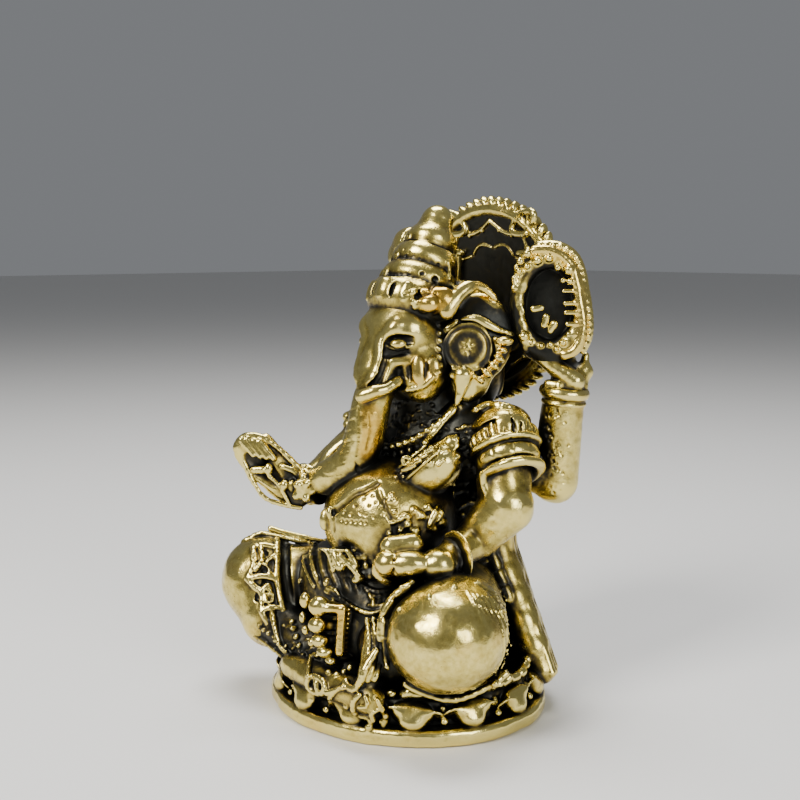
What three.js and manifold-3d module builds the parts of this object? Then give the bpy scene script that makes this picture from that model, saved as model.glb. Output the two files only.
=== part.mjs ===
// A small cast-brass figurine of an elephant-headed deity, seated cross-legged on an oval
// lotus plinth in front of a halo. Four arms: the front left hand rests on the knee, the front
// right hand offers a sweet to the trunk, the rear hands hold a noose and an axe.
//
// Units are millimetres. +Z is up, the figure faces -Y, and its left side is +X.
// The origin is the centre of the plinth's flat underside.

import * as THREE from "three";
import { ConvexGeometry } from "three/addons/geometries/ConvexGeometry.js";
import { mergeVertices } from "three/addons/utils/BufferGeometryUtils.js";
import Module from "manifold-3d";

const wasm = await Module();
wasm.setup();

// ---------------------------------------------------------------- driving dimensions

const GAP = 0.3; // clearance between neighbouring pieces
const CROWN_TOP = 44.9; // overall height

const FOOT = { rx: 13.4, ry: 12.0, height: 1.5 }; // oval foot of the plinth
const LOTUS = { petals: 14, top: 4.3, inset: 1.3, swell: 0.9 }; // ring of petals above the foot
const SEAT = { rx: 10.6, ry: 9.2, top: 5.2 }; // mound that the figure sits on

const HALO = { y: 10.6, z: 36.2, radius: 8.1, tall: 0.98, thick: 1.1, dish: 1.3, rim: 0.9 };
const NOOSE = { across: 2.75, tall: 1.34, cord: 1.1, deep: 1.4 };

const SPHERE_STEPS = 11; // sides of the rounded forms
const RING_STEPS = 13; // sides of the bands and rings
const SMALL = 1.3; // balls under this radius get the coarsest facets
const FACET = 0.1; // detail finer than this is merged away after the cuts

// Joint positions of the body, on the figure's left (+X) unless named otherwise.
const LEFT_HIP = [3.5, 2.5, 8.8];
const LEFT_KNEE = [10.9, -5.6, 9.5];
const RIGHT_HIP = [-3.5, 2.5, 9.2];
const RIGHT_KNEE = [-12.4, -7.2, 10.2];

const LEFT_SHOULDER = [6.3, 4.0, 24.3];
const LEFT_ELBOW = [9.6, 2.7, 19.2];
const LEFT_WRIST = [7.6, 0.7, 15.6];
const LEFT_PALM = [6.7, -2.8, 15.6];

const RIGHT_SHOULDER = [-6.3, 4.0, 24.3];
const RIGHT_ELBOW = [-8.7, 0.8, 21.6];
const RIGHT_WRIST = [-8.0, -5.2, 19.4];
const RIGHT_PALM = [-8.5, -8.9, 20.9];

const REAR_SHOULDER = [6.4, 6.6, 22.6];
const REAR_ELBOW = [9.4, 9.4, 20.4];
const REAR_WRIST = [10.1, 9.7, 27.9];
const REAR_HAND = [10.2, 10.2, 30.3];

const HEAD = [0, 1.0, 31.5];
const EARRING = [5.7, 2.4, 32.0];

// ---------------------------------------------------------------- finishes

const finish = (color, roughness) => new THREE.MeshStandardMaterial({ color, roughness, metalness: 1 });
const POLISHED = { color: 0xc9a659, roughness: 0.28 }; // handled high points
const AGED = { color: 0x8a7140, roughness: 0.4 }; // textured cloth and jewellery
const DARK = { color: 0x4a3f2a, roughness: 0.5 }; // recessed pieces, black patina

// ---------------------------------------------------------------- solids from geometry

/** The manifold solid of a closed geometry, with its faces pointing outwards. */
function toSolid(geometry) {
  const bare = geometry.clone();
  for (const name of Object.keys(bare.attributes)) {
    if (name !== "position") bare.deleteAttribute(name);
  }
  const welded = mergeVertices(bare, 1e-4);
  const corners = Array.from(welded.index.array);
  const triangles = [];
  for (let i = 0; i < corners.length; i += 3) {
    const [a, b, c] = corners.slice(i, i + 3);
    if (a !== b && b !== c && c !== a) triangles.push(a, b, c);
  }
  const points = welded.attributes.position;
  if (signedVolume(points, triangles) < 0) triangles.reverse();
  const mesh = new wasm.Mesh({
    numProp: 3,
    vertProperties: new Float32Array(points.array),
    triVerts: new Uint32Array(triangles),
  });
  return new wasm.Manifold(mesh);
}

function signedVolume(points, triangles) {
  const [a, b, c] = [new THREE.Vector3(), new THREE.Vector3(), new THREE.Vector3()];
  let sum = 0;
  for (let i = 0; i < triangles.length; i += 3) {
    a.fromBufferAttribute(points, triangles[i]);
    b.fromBufferAttribute(points, triangles[i + 1]);
    c.fromBufferAttribute(points, triangles[i + 2]);
    sum += a.dot(b.cross(c)) / 6;
  }
  return sum;
}

function toGeometry(solid) {
  const mesh = solid.getMesh();
  const geometry = new THREE.BufferGeometry();
  geometry.setAttribute("position", new THREE.BufferAttribute(mesh.vertProperties, 3));
  geometry.setIndex(new THREE.BufferAttribute(mesh.triVerts, 1));
  geometry.computeVertexNormals();
  return geometry;
}

// A form is a function of `grow`: called with 0 it gives the piece's own solid, and called
// with GAP it gives the space that a neighbour has to leave free.

/** An ellipsoid. `turn` holds Euler angles in degrees about X, Y and Z. */
function ball(centre, radii, turn = [0, 0, 0], steps = SPHERE_STEPS) {
  const [rx, ry, rz] = typeof radii === "number" ? [radii, radii, radii] : radii;
  return (grow) => {
    const geometry = new THREE.SphereGeometry(1, steps, Math.round(steps * 0.64));
    geometry.rotateX(Math.PI / 2);
    geometry.scale(rx + grow, ry + grow, rz + grow);
    const angles = turn.map(THREE.MathUtils.degToRad);
    geometry.applyQuaternion(new THREE.Quaternion().setFromEuler(new THREE.Euler(...angles)));
    geometry.translate(...centre);
    return toSolid(geometry);
  };
}

/** The convex skin around balls given as [centre, radius]. */
function hull(...stations) {
  return (grow) => {
    const points = [];
    for (const [centre, radius] of stations) {
      const sphere = new THREE.IcosahedronGeometry(radius + grow, radius < SMALL ? 0 : 1);
      const corners = sphere.attributes.position;
      for (let i = 0; i < corners.count; i += 1) {
        const corner = new THREE.Vector3().fromBufferAttribute(corners, i);
        points.push(corner.add(new THREE.Vector3(...centre)));
      }
    }
    return toSolid(new ConvexGeometry(points));
  };
}

/** A tapering limb through stations given as [centre, radius]. */
function limb(...stations) {
  const spans = stations.slice(1).map((station, i) => hull(stations[i], station));
  return join(...spans);
}

/** A ring round `axis`: `wide` is half its height along the axis, `thick` half its wall. */
function ring(centre, axis, radius, wide, thick, stretch = 1) {
  return (grow) => {
    const profile = [];
    const corners = 5;
    for (let i = 0; i <= corners; i += 1) {
      const angle = (i / corners) * 2 * Math.PI;
      const across = radius + (thick + grow) * Math.cos(angle);
      profile.push(new THREE.Vector2(across, (wide + grow) * Math.sin(angle)));
    }
    const geometry = new THREE.LatheGeometry(profile, RING_STEPS);
    geometry.scale(1, 1, stretch);
    return toSolid(along(geometry, axis).translate(...centre));
  };
}

/** Turns a geometry that was made round +Y so that it lies round `axis`. */
function along(geometry, axis) {
  const direction = new THREE.Vector3(...axis).normalize();
  const turn = new THREE.Quaternion().setFromUnitVectors(new THREE.Vector3(0, 1, 0), direction);
  return geometry.applyQuaternion(turn);
}

/** A cord of round section through the given points, closed at both ends. */
function cord(points, radius, steps) {
  return (grow) => {
    const path = new THREE.CatmullRomCurve3(points.map((point) => new THREE.Vector3(...point)));
    const section = new THREE.Shape().absarc(0, 0, radius + grow, 0, 2 * Math.PI);
    return toSolid(new THREE.ExtrudeGeometry(section, { steps, extrudePath: path, curveSegments: 4 }));
  };
}

/** An upright oval body of revolution: `profile` lists [radius, z], stretched to rx by ry. */
function oval(profile, rx, ry) {
  return (grow) => {
    const last = profile.length - 1;
    const outline = profile.map(([radius, z], i) => {
      const height = i === 0 ? z - grow : i === last ? z + grow : z;
      return new THREE.Vector2(radius === 0 ? 0 : radius, height);
    });
    outline[1].y -= grow;
    outline[last - 1].y += grow;
    const geometry = new THREE.LatheGeometry(outline, 2 * SPHERE_STEPS);
    geometry.rotateX(Math.PI / 2);
    geometry.scale(rx + grow, ry + grow, 1);
    return toSolid(geometry);
  };
}

function join(...forms) {
  return (grow) => forms.map((form) => form(grow)).reduce((whole, piece) => whole.add(piece));
}

const mirror = ([x, y, z]) => [-x, y, z];
const between = (a, b, t) => a.map((value, i) => value + (b[i] - value) * t);
const direction = (a, b) => a.map((value, i) => b[i] - value);

// ---------------------------------------------------------------- the assembly

const statue = new THREE.Group();
const placed = [];

/** Adds a piece. Where it meets a piece added earlier it is cut back to leave GAP. */
function piece(name, look, form) {
  let solid = form(0);
  for (const earlier of placed) {
    if (meets(solid.boundingBox(), earlier.space.boundingBox())) {
      solid = solid.subtract(earlier.space);
    }
  }
  const bodies = solid.simplify(FACET).decompose().sort((a, b) => b.volume() - a.volume());
  placed.push({ name, space: form(GAP).simplify(FACET) });
  const mesh = new THREE.Mesh(toGeometry(bodies[0]), finish(look.color, look.roughness));
  mesh.name = name;
  statue.add(mesh);
}

function meets(a, b) {
  return [0, 1, 2].every((axis) => a.min[axis] < b.max[axis] && b.min[axis] < a.max[axis]);
}

// ---------------------------------------------------------------- plinth

function plinth() {
  const { rx, ry, height } = FOOT;
  const foot = [[0, 0], [0.985, 0], [1, 0.25], [1, height - 0.35], [0.97, height], [0, height]];
  piece("plinth_foot", POLISHED, oval(foot, rx, ry));

  const low = height + GAP;
  const mound = [[0, low], [1, low], [0.97, 3.2], [0.86, 4.4], [0.6, SEAT.top], [0, SEAT.top]];
  piece("seat_mound", DARK, oval(mound, SEAT.rx, SEAT.ry));

  piece("lotus_ring", AGED, lotusRing);
}

/** A flat ring with a scalloped outline, one scallop to a petal, and rounded edges. */
function lotusRing(grow) {
  const low = FOOT.height + GAP;
  const round = 0.5;
  const outline = new THREE.Shape();
  const perPetal = 4;
  const corners = LOTUS.petals * perPetal;
  for (let i = 0; i < corners; i += 1) {
    const angle = (i / corners) * 2 * Math.PI;
    const swell = LOTUS.swell * Math.abs(Math.sin((angle * LOTUS.petals) / 2));
    const inset = LOTUS.inset + round - swell - grow;
    const [x, y] = [(FOOT.rx - inset) * Math.cos(angle), (FOOT.ry - inset) * Math.sin(angle)];
    if (i === 0) outline.moveTo(x, y);
    else outline.lineTo(x, y);
  }
  const bore = GAP + round - grow;
  outline.holes.push(new THREE.Path().absellipse(0, 0, SEAT.rx + bore, SEAT.ry + bore, 0, 2 * Math.PI));
  const depth = LOTUS.top - low - 2 * round + 2 * grow;
  const geometry = new THREE.ExtrudeGeometry(outline, {
    depth, bevelSize: round, bevelThickness: round, bevelSegments: 1, curveSegments: 7,
  });
  return toSolid(geometry.translate(0, 0, low + round - grow));
}

// ---------------------------------------------------------------- legs and lap

function legs() {
  piece("left_leg", POLISHED, join(limb([LEFT_HIP, 4.2], [LEFT_KNEE, 4.8]), ball(LEFT_KNEE, 5.7)));
  piece("right_leg", AGED, join(limb([RIGHT_HIP, 4.2], [RIGHT_KNEE, 3.7]), ball(RIGHT_KNEE, 4.0)));

  const apron = hull([[-4.2, -10.2, 4.0], 0.8], [[2.0, -10.9, 4.2], 0.8], [[-3.0, -11.2, 2.8], 0.8],
    [[4.8, -11.5, 2.8], 0.8], [[7.6, -10.2, 3.4], 0.7]);
  const fold = hull([[5.0, -8.8, 9.4], 0.8], [[6.2, -10.0, 6.4], 0.9], [[4.6, -11.0, 4.0], 0.8]);
  piece("front_drape", AGED, join(apron, fold));

  // The left foot lies on its outer edge in front of the lap, toes towards the right knee.
  const toes = [];
  for (let i = 0; i < 5; i += 1) {
    const size = 0.95 - 0.1 * i;
    const drop = 1.75 * i - 0.16 * i * i;
    const [x, z] = [-1.9 + 0.09 * i * i, 9.9 - drop];
    toes.push(limb([[0.6, -8.1, 9.6 - 0.9 * i], size], [[x, -8.4, z], size]));
  }
  piece("left_foot", POLISHED, join(limb([[2.4, -7.5, 8.2], 2.1], [[0.5, -7.9, 8.2], 2.0]), ...toes));
  piece("left_anklet", AGED, ring([1.5, -7.8, 8.3], [1, -0.1, 0], 2.4, 0.5, 0.45));
  piece("left_shin", AGED, limb([[8.6, -6.4, 7.4], 3.0], [[3.6, -7.2, 8.0], 2.4]));
  piece("right_shin", AGED, limb(
    [[-11.0, -7.8, 8.4], 3.0],
    [[-5.6, -8.4, 5.9], 2.2],
    [[1.4, -8.4, 4.5], 1.5],
  ));
}

// ---------------------------------------------------------------- body

function body() {
  piece("belly", POLISHED, ball([0, -2.2, 16.9], [6.5, 6.3, 6.0]));
  piece("chest", AGED, hull([[3.3, 0.3, 21.8], 2.6], [[-3.3, 0.3, 21.8], 2.6], [[3.0, 3.6, 24.0], 3.8],
    [[-3.0, 3.6, 24.0], 3.8]));
  const path = [[4.6, 4.0, 28.0], [4.4, 0.4, 26.4], [2.6, -2.0, 24.0], [0, -2.9, 23.0],
    [-2.6, -2.0, 24.0], [-4.4, 0.4, 26.4], [-4.6, 4.0, 28.0]];
  piece("necklace", AGED, cord(path, 0.75, 20));
  piece("belly_belt", AGED, ring([0, -2.0, 14.6], [0, -0.35, 1], 6.6, 0.7, 0.5, 0.97));
  piece("buckle", POLISHED, hull(
    [[-0.6, -8.4, 12.6], 1.1],
    [[-1.0, -9.2, 10.6], 0.9],
    [[0.8, -8.8, 11.0], 0.8],
  ));
  piece("lap_cloth", AGED, hull([[-4.6, -5.4, 10.4], 1.7], [[3.8, -6.6, 9.6], 1.5], [[0, -8.0, 8.0], 1.4],
    [[-1, -3.4, 11.4], 1.8]));
  piece("hips", DARK, hull([[3.6, 3.4, 9.2], 4.4], [[-3.6, 3.4, 9.2], 4.4], [[0, 4.2, 17.0], 4.4]));
}

// ---------------------------------------------------------------- head and crown

function head() {
  const brow = [[0, -0.7, 33.0], 3.2];
  const cheeks = [[[2.4, -1.2, 30.2], 2.3], [[-2.4, -1.2, 30.2], 2.3]];
  piece("trunk", POLISHED, limb(
    [[0, -3.6, 31.0], 1.9],
    [[-0.5, -4.8, 27.4], 2.0],
    [[-1.0, -5.3, 24.4], 1.85],
    [[-1.9, -5.8, 21.9], 1.65],
    [[-3.9, -6.5, 20.4], 1.35],
  ));
  for (const [side, sign, length] of [["left", 1, 1], ["right", -1, 0.4]]) {
    const root = [sign * 2.8, -3.9, 29.5];
    const tip = between(root, [sign * 2.1, -6.9, 28.2], length);
    piece(`${side}_tusk`, POLISHED, limb([root, 0.85], [tip, 0.6]));
  }
  piece("head", POLISHED, hull([HEAD, 4.4], brow, ...cheeks));

  for (const [side, flip] of [["left", (point) => point], ["right", mirror]]) {
    const disc = ring(flip(EARRING), flip([0.74, -0.67, 0.1]), 1.3, 0.45, 0.8);
    const boss = ball(flip(EARRING), 0.9);
    piece(`${side}_earring`, AGED, join(disc, boss));
    const fan = hull(
      [flip([4.6, 2.0, 34.4]), 0.9],
      [flip([6.4, 4.9, 35.9]), 0.6],
      [flip([8.5, 5.6, 32.6]), 0.6],
      [flip([7.8, 4.2, 29.8]), 0.6],
      [flip([6.2, 2.0, 28.7]), 0.6],
      [flip([4.4, 1.2, 30.2]), 0.9],
    );
    piece(`${side}_ear`, POLISHED, fan);
  }
}

function crown() {
  const lean = [0, 0.22, 1];
  piece("crown_band", AGED, ring([0, 0.9, 35.0], lean, 3.9, 0.95, 0.95, 1.05));
  const tiers = [[[0, 1.4, 37.2], [4.1, 4.1, 2.3]], [[0, 2.0, 39.8], [3.1, 3.1, 2.1]],
    [[0, 2.6, 42.2], [2.3, 2.3, 1.8]]];
  tiers.forEach(([centre, radii], i) => {
    piece(`crown_tier_${i + 1}`, AGED, ball(centre, radii, [-12, 0, 0]));
  });
  piece("crown_finial", POLISHED, ball([0, 3.1, CROWN_TOP - 1.6], [1.5, 1.5, 1.6]));
}

// ---------------------------------------------------------------- arms

/** A palm with four fingers that run side by side from the knuckles to the tips. */
function hand(wrist, palm, palmRadius, knuckles, tips, fingerRadius) {
  const fingers = [];
  for (let i = 0; i < 4; i += 1) {
    const from = between(knuckles[0], knuckles[1], i / 3);
    const to = between(tips[0], tips[1], i / 3);
    fingers.push(limb([from, fingerRadius * 1.1], [to, fingerRadius]));
  }
  return join(limb([wrist, palmRadius * 0.85], [palm, palmRadius]), hull([palm, palmRadius],
    [knuckles[0], fingerRadius], [knuckles[1], fingerRadius]), ...fingers);
}

function bandOn(from, to, t, radius, wide, thick) {
  return ring(between(from, to, t), direction(from, to), radius, wide, thick);
}

function frontArms() {
  piece("left_forearm", POLISHED, limb([LEFT_ELBOW, 2.25], [between(LEFT_ELBOW, LEFT_WRIST, 0.85), 1.7]));
  piece("left_bracelet", AGED, ring(LEFT_WRIST, [-0.35, -0.75, -0.45], 1.55, 0.65, 0.5));
  piece("left_hand", POLISHED, hand([7.4, -0.2, 15.5], LEFT_PALM, 1.5,
    [[7.6, -4.2, 15.4], [5.1, -4.4, 15.5]], [[6.6, -7.2, 15.0], [3.8, -6.6, 14.6]], 0.8));
  const leftUpper = limb([LEFT_SHOULDER, 2.7], [between(LEFT_SHOULDER, LEFT_ELBOW, 0.8), 2.0]);
  piece("left_upper_arm", AGED, leftUpper);
  piece("left_sleeve", AGED, bandOn(LEFT_SHOULDER, LEFT_ELBOW, 0.16, 3.0, 1.15, 0.6));
  piece("left_armlet", AGED, bandOn(LEFT_SHOULDER, LEFT_ELBOW, 0.6, 2.75, 0.95, 0.55));

  piece("right_forearm", POLISHED, limb([RIGHT_ELBOW, 2.2], [between(RIGHT_ELBOW, RIGHT_WRIST, 0.9), 1.5]));
  piece("right_bracelet", AGED, ring(RIGHT_WRIST, direction(RIGHT_ELBOW, RIGHT_WRIST), 1.4, 0.6, 0.5));
  const point = limb([[-5.4, -7.6, 20.0], 0.6], [[-5.3, -7.7, 21.0], 0.3]);
  piece("sweet", POLISHED, join(ball([-5.4, -7.6, 19.4], 1.25), point));
  piece("right_hand", POLISHED, hand([-8.0, -6.6, 19.2], RIGHT_PALM, 1.3,
    [[-9.9, -9.6, 22.0], [-7.3, -10.2, 21.8]], [[-9.6, -11.6, 24.6], [-7.6, -12.1, 24.0]], 0.62));
  const rightUpper = limb([RIGHT_SHOULDER, 2.7], [between(RIGHT_SHOULDER, RIGHT_ELBOW, 0.75), 2.0]);
  piece("right_upper_arm", AGED, rightUpper);
  piece("right_sleeve", AGED, bandOn(RIGHT_SHOULDER, RIGHT_ELBOW, 0.2, 3.0, 1.0, 0.6));
}

function rearArms() {
  for (const [side, flip] of [["left", (point) => point], ["right", mirror]]) {
    const [shoulder, elbow, wrist, palm] = [REAR_SHOULDER, REAR_ELBOW, REAR_WRIST, REAR_HAND].map(flip);
    piece(`${side}_rear_forearm`, POLISHED, limb([elbow, 2.2], [between(elbow, wrist, 0.93), 1.75]));
    piece(`${side}_rear_bracelet`, AGED, ring(wrist, direction(elbow, wrist), 1.6, 0.6, 0.5));
    const knuckles = [flip([8.6, 8.4, 31.2]), flip([11.4, 9.2, 31.4])];
    const tips = [flip([8.0, 7.4, 30.2]), flip([11.6, 7.9, 30.2])];
    piece(`${side}_rear_hand`, POLISHED, hand(between(wrist, palm, 0.5), palm, 1.6, knuckles, tips, 0.6));
    piece(`${side}_rear_upper_arm`, AGED, limb([shoulder, 2.4], [between(shoulder, elbow, 0.8), 1.9]));
  }
  const facing = [0.6, -0.8, 0];
  piece("noose", AGED, ring([9.4, 8.4, 36.0], facing, NOOSE.across, NOOSE.deep, NOOSE.cord, NOOSE.tall));
  piece("axe_handle", POLISHED, limb([[-10.0, 9.4, 32.2], 0.7], [[-9.4, 8.8, 39.2], 0.7]));
  piece("axe_head", POLISHED, hull(
    [[-9.2, 8.6, 41.2], 1.6],
    [[-8.0, 8.0, 41.6], 1.5],
    [[-10.8, 9.2, 40.8], 1.0],
  ));
}

// ---------------------------------------------------------------- back

function back() {
  const { y, z, radius, tall, thick, dish, rim } = HALO;
  const shell = (grow) => {
    const profile = [];
    const steps = 8;
    for (let i = 0; i <= steps; i += 1) {
      const r = (i / steps) * radius;
      profile.push(new THREE.Vector2(r, -dish * (i / steps) ** 2 - thick / 2 - grow));
    }
    for (let i = steps; i >= 0; i -= 1) {
      const r = (i / steps) * (radius + grow);
      profile.push(new THREE.Vector2(r, -dish * (i / steps) ** 2 + thick / 2 + grow));
    }
    const geometry = new THREE.LatheGeometry(profile, 2 * RING_STEPS);
    return toSolid(geometry.scale(1, 1, tall).translate(0, y + dish, z));
  };
  piece("halo_dish", DARK, shell);
  piece("halo_rim", AGED, ring([0, y, z], [0, 1, 0], radius + rim, rim, rim * 0.6, tall));
  piece("mane", DARK, hull([[2.6, 6.4, 29.6], 2.6], [[-2.6, 6.4, 29.6], 2.6], [[0, 6.8, 36.0], 2.2]));
  piece("neck", DARK, limb([[0, 2.4, 28.4], 3.4], [[0, 3.2, 25.6], 3.8]));
  piece("back_cape", AGED, hull(
    [[0, 8.6, 25.4], 1.6],
    [[5.4, 7.8, 15.6], 1.6],
    [[-5.4, 7.8, 15.6], 1.6],
    [[8.8, 5.6, 6.4], 1.7],
    [[-8.8, 5.6, 6.4], 1.7],
    [[6.4, 9.6, 3.6], 1.6],
    [[-6.4, 9.6, 3.6], 1.6],
    [[0, 11.0, 3.8], 1.6],
  ));
}

plinth();
legs();
body();
head();
crown();
frontArms();
rearArms();
back();

export default statue;
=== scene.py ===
"""Looks of the brass deity figurine: sculpted as distance fields, skinned and given an antique finish.

Every CAD node gets one sculpted piece. A piece is modelled in "clay": a grid of distances to its
surface, in millimetres, placed from the node's box in the frame. The clays are then blended into
one casting, each is skinned as its own closed mesh, and the depth of every point in the relief
drives where the brass is rubbed bright and where it stays dark: dark patina in the hollows, and
painted shade where the relief shelters a point.
"""
import math

import bpy
import numpy as np
import openvdb
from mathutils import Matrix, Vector


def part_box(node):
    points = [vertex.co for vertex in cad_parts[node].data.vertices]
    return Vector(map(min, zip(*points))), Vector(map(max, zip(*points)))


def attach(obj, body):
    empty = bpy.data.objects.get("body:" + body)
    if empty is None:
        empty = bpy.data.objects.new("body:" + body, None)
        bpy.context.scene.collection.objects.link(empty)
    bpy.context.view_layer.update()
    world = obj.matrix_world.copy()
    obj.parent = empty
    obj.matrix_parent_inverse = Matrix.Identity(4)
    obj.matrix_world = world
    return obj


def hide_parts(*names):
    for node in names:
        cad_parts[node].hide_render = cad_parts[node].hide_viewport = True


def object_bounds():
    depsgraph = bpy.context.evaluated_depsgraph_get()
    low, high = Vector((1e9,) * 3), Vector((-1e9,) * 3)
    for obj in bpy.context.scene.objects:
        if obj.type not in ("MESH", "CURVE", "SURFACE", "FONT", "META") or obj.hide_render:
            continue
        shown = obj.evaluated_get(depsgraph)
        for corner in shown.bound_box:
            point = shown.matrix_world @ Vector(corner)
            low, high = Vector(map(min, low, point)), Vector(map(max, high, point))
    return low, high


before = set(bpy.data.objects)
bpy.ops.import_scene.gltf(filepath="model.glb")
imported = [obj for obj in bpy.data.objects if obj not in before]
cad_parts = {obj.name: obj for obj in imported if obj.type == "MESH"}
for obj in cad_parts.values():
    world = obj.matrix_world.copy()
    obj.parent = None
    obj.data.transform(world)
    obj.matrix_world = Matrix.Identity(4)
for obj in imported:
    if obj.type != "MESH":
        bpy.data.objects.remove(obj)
CAD_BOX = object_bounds()

MM = 0.001
STEP = 0.1  # spacing of the sculpting grid, mm
REACH = 1.2  # distances are worked out up to this far from a surface, mm
MELT = 0.07  # how softly neighbouring pieces flow into each other, mm
DIP = 0.4  # slope with which a piece dives under its neighbour's surface
LAP = 0.3  # how far a piece runs on inside its neighbour, mm
PAD = 2.0  # room round a CAD node's box for its sculpted relief, mm
SETTLE_ROUNDS = 8  # moves that bring a point onto a surface
LONGEST_MOVE = 0.6  # of one such move, mm
FADE = 0.5  # slope with which a piece fades out beyond a plane
PAINTED_PATCH_EDGE = 0.4  # width over which a painted patch of tone and shade fades, mm
START_OUT = 9  # how far outside the piece a sight line starts, mm
TOUCH = 0.02  # a sight line this close to the surface has arrived, mm
NEAR_MISS = 0.8  # a sight line that never comes this close draws nothing, mm

GRID_LOW = np.array(CAD_BOX[0]) / MM - PAD - 1.0
GRID_SIZE = np.ceil(((np.array(CAD_BOX[1]) / MM + PAD + 1.0) - GRID_LOW) / STEP).astype(int)


# ---------------------------------------------------------------- places, from the frame

def v(*numbers):
    return np.array(numbers, dtype=float)


def box(node):
    low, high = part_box(node)
    return np.array(low) / MM, np.array(high) / MM


def at(node):
    """The centre of a node's box."""
    low, high = box(node)
    return (low + high) / 2


def corner(node, signs, inset):
    """A corner, edge or face centre of a node's box, moved inwards by inset."""
    low, high = box(node)
    middle = (low + high) / 2
    signs = np.array(signs, dtype=float)
    return middle + signs * ((high - low) / 2 - inset)


def unit(direction):
    direction = np.asarray(direction, dtype=float)
    return direction / np.linalg.norm(direction)


def axes_from(first, second=(0, 0, 1)):
    """Three perpendicular directions: the first, then the second made square to it, then their cross."""
    a = unit(first)
    b = unit(np.asarray(second, float) - a * np.dot(a, second))
    return np.array([a, b, np.cross(a, b)])


# ---------------------------------------------------------------- shapes

class Shape:
    """A distance function with the box that its solid fits in."""

    def __init__(self, distance, low, high):
        self.distance = distance
        self.low = np.asarray(low, float)
        self.high = np.asarray(high, float)


def ball(centre, radius):
    def distance(x, y, z):
        return np.sqrt((x - centre[0]) ** 2 + (y - centre[1]) ** 2 + (z - centre[2]) ** 2) - radius
    return Shape(distance, np.asarray(centre) - radius, np.asarray(centre) + radius)


def local(x, y, z, centre, axes):
    x, y, z = x - centre[0], y - centre[1], z - centre[2]
    return [axis[0] * x + axis[1] * y + axis[2] * z for axis in axes]


def egg(centre, radii, axes=np.eye(3)):
    """An ellipsoid with its radii along the three given directions."""
    radii = np.asarray(radii, float)

    def distance(x, y, z):
        parts = local(x, y, z, centre, axes)
        near = np.sqrt(sum((part / radius) ** 2 for part, radius in zip(parts, radii)))
        slope = np.sqrt(sum((part / radius ** 2) ** 2 for part, radius in zip(parts, radii)))
        return near * (near - 1) / np.maximum(slope, 1e-6)
    span = np.sqrt(((np.asarray(axes).T * radii) ** 2).sum(axis=1))
    return Shape(distance, np.asarray(centre) - span, np.asarray(centre) + span)


def rod(start, end, radius, end_radius=None):
    """A round bar that may taper."""
    start, end = np.asarray(start, float), np.asarray(end, float)
    end_radius = radius if end_radius is None else end_radius
    along = end - start
    length2 = max(float(along @ along), 1e-9)

    def distance(x, y, z):
        x, y, z = x - start[0], y - start[1], z - start[2]
        h = np.clip((x * along[0] + y * along[1] + z * along[2]) / length2, 0, 1)
        away = np.sqrt((x - h * along[0]) ** 2 + (y - h * along[1]) ** 2 + (z - h * along[2]) ** 2)
        return away - (radius + h * (end_radius - radius))
    big = max(radius, end_radius)
    return Shape(distance, np.minimum(start, end) - big, np.maximum(start, end) + big)


def strap(start, end, normal, half_width, half_thick, taper=0.0):
    """A flat bar with rounded edges; taper is how much of its width it loses towards both ends."""
    start, end = np.asarray(start, float), np.asarray(end, float)
    length = max(float(np.linalg.norm(end - start)), 1e-6)
    axes = axes_from(end - start, normal)

    def distance(x, y, z):
        along, out, across = local(x, y, z, start, axes)
        h = np.clip(along / length, 0, 1)
        over = (along - h * length) / half_thick
        width = half_width * (1 - taper + taper * np.sqrt(np.clip(4 * h * (1 - h), 0.0, 1)))
        round_ = np.sqrt((across / np.maximum(width, 0.05)) ** 2 + (out / half_thick) ** 2 + over ** 2)
        return (round_ - 1) * min(half_width, half_thick)
    big = max(half_width, half_thick)
    return Shape(distance, np.minimum(start, end) - big, np.maximum(start, end) + big)


def hoop(centre, axis, radius, thick, wide=None, start=None, oval=1.0):
    """A ring round an axis. Its section is thick across the wall and wide along the axis."""
    wide = thick if wide is None else wide
    axes = axes_from(axis, start if start is not None else (0.3, 0.2, 1))

    def distance(x, y, z):
        along, up, side = local(x, y, z, centre, axes)
        away = np.sqrt((up / oval) ** 2 + side ** 2) - radius
        return (np.sqrt((away / thick) ** 2 + (along / wide) ** 2) - 1) * min(thick, wide)
    big = (radius + thick) * max(1.0, oval) + wide
    return Shape(distance, np.asarray(centre) - big, np.asarray(centre) + big)


def oval_slab(centre, rx, ry, half, edge):
    """An upright oval plate with rounded edges."""
    def distance(x, y, z):
        x, y, z = x - centre[0], y - centre[1], z - centre[2]
        side = (np.sqrt((x / rx) ** 2 + (y / ry) ** 2) - 1) * min(rx, ry) + edge
        top = np.abs(z) - half + edge
        outside = np.sqrt(np.maximum(side, 0) ** 2 + np.maximum(top, 0) ** 2)
        return outside + np.minimum(np.maximum(side, top), 0) - edge
    return Shape(distance, np.asarray(centre) - v(rx, ry, half), np.asarray(centre) + v(rx, ry, half))


# ---------------------------------------------------------------- paths

def smooth(points, count=24, closed=False):
    """A smooth curve through the points, as `count` points."""
    points = np.asarray(points, float)
    total = len(points)
    spans = total if closed else total - 1
    result = []
    for i in range(count):
        place = i * spans / (count if closed else count - 1)
        span = min(int(place), spans - 1)
        t = place - span
        picks = [span - 1, span, span + 1, span + 2]
        picks = [p % total for p in picks] if closed else [min(max(p, 0), total - 1) for p in picks]
        a, b, c, d = points[picks]
        result.append(0.5 * (2 * b + (c - a) * t + (2 * a - 5 * b + 4 * c - d) * t ** 2
                             + (3 * b - a - 3 * c + d) * t ** 3))
    return np.array(result)


def circle(centre, axis, radius, count, start=(0.3, 0.2, 1), oval=1.0):
    axes = axes_from(axis, start)
    angles = np.arange(count) * 2 * math.pi / count
    return np.array([centre + axes[1] * math.cos(a) * radius * oval + axes[2] * math.sin(a) * radius
                     for a in angles])


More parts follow.
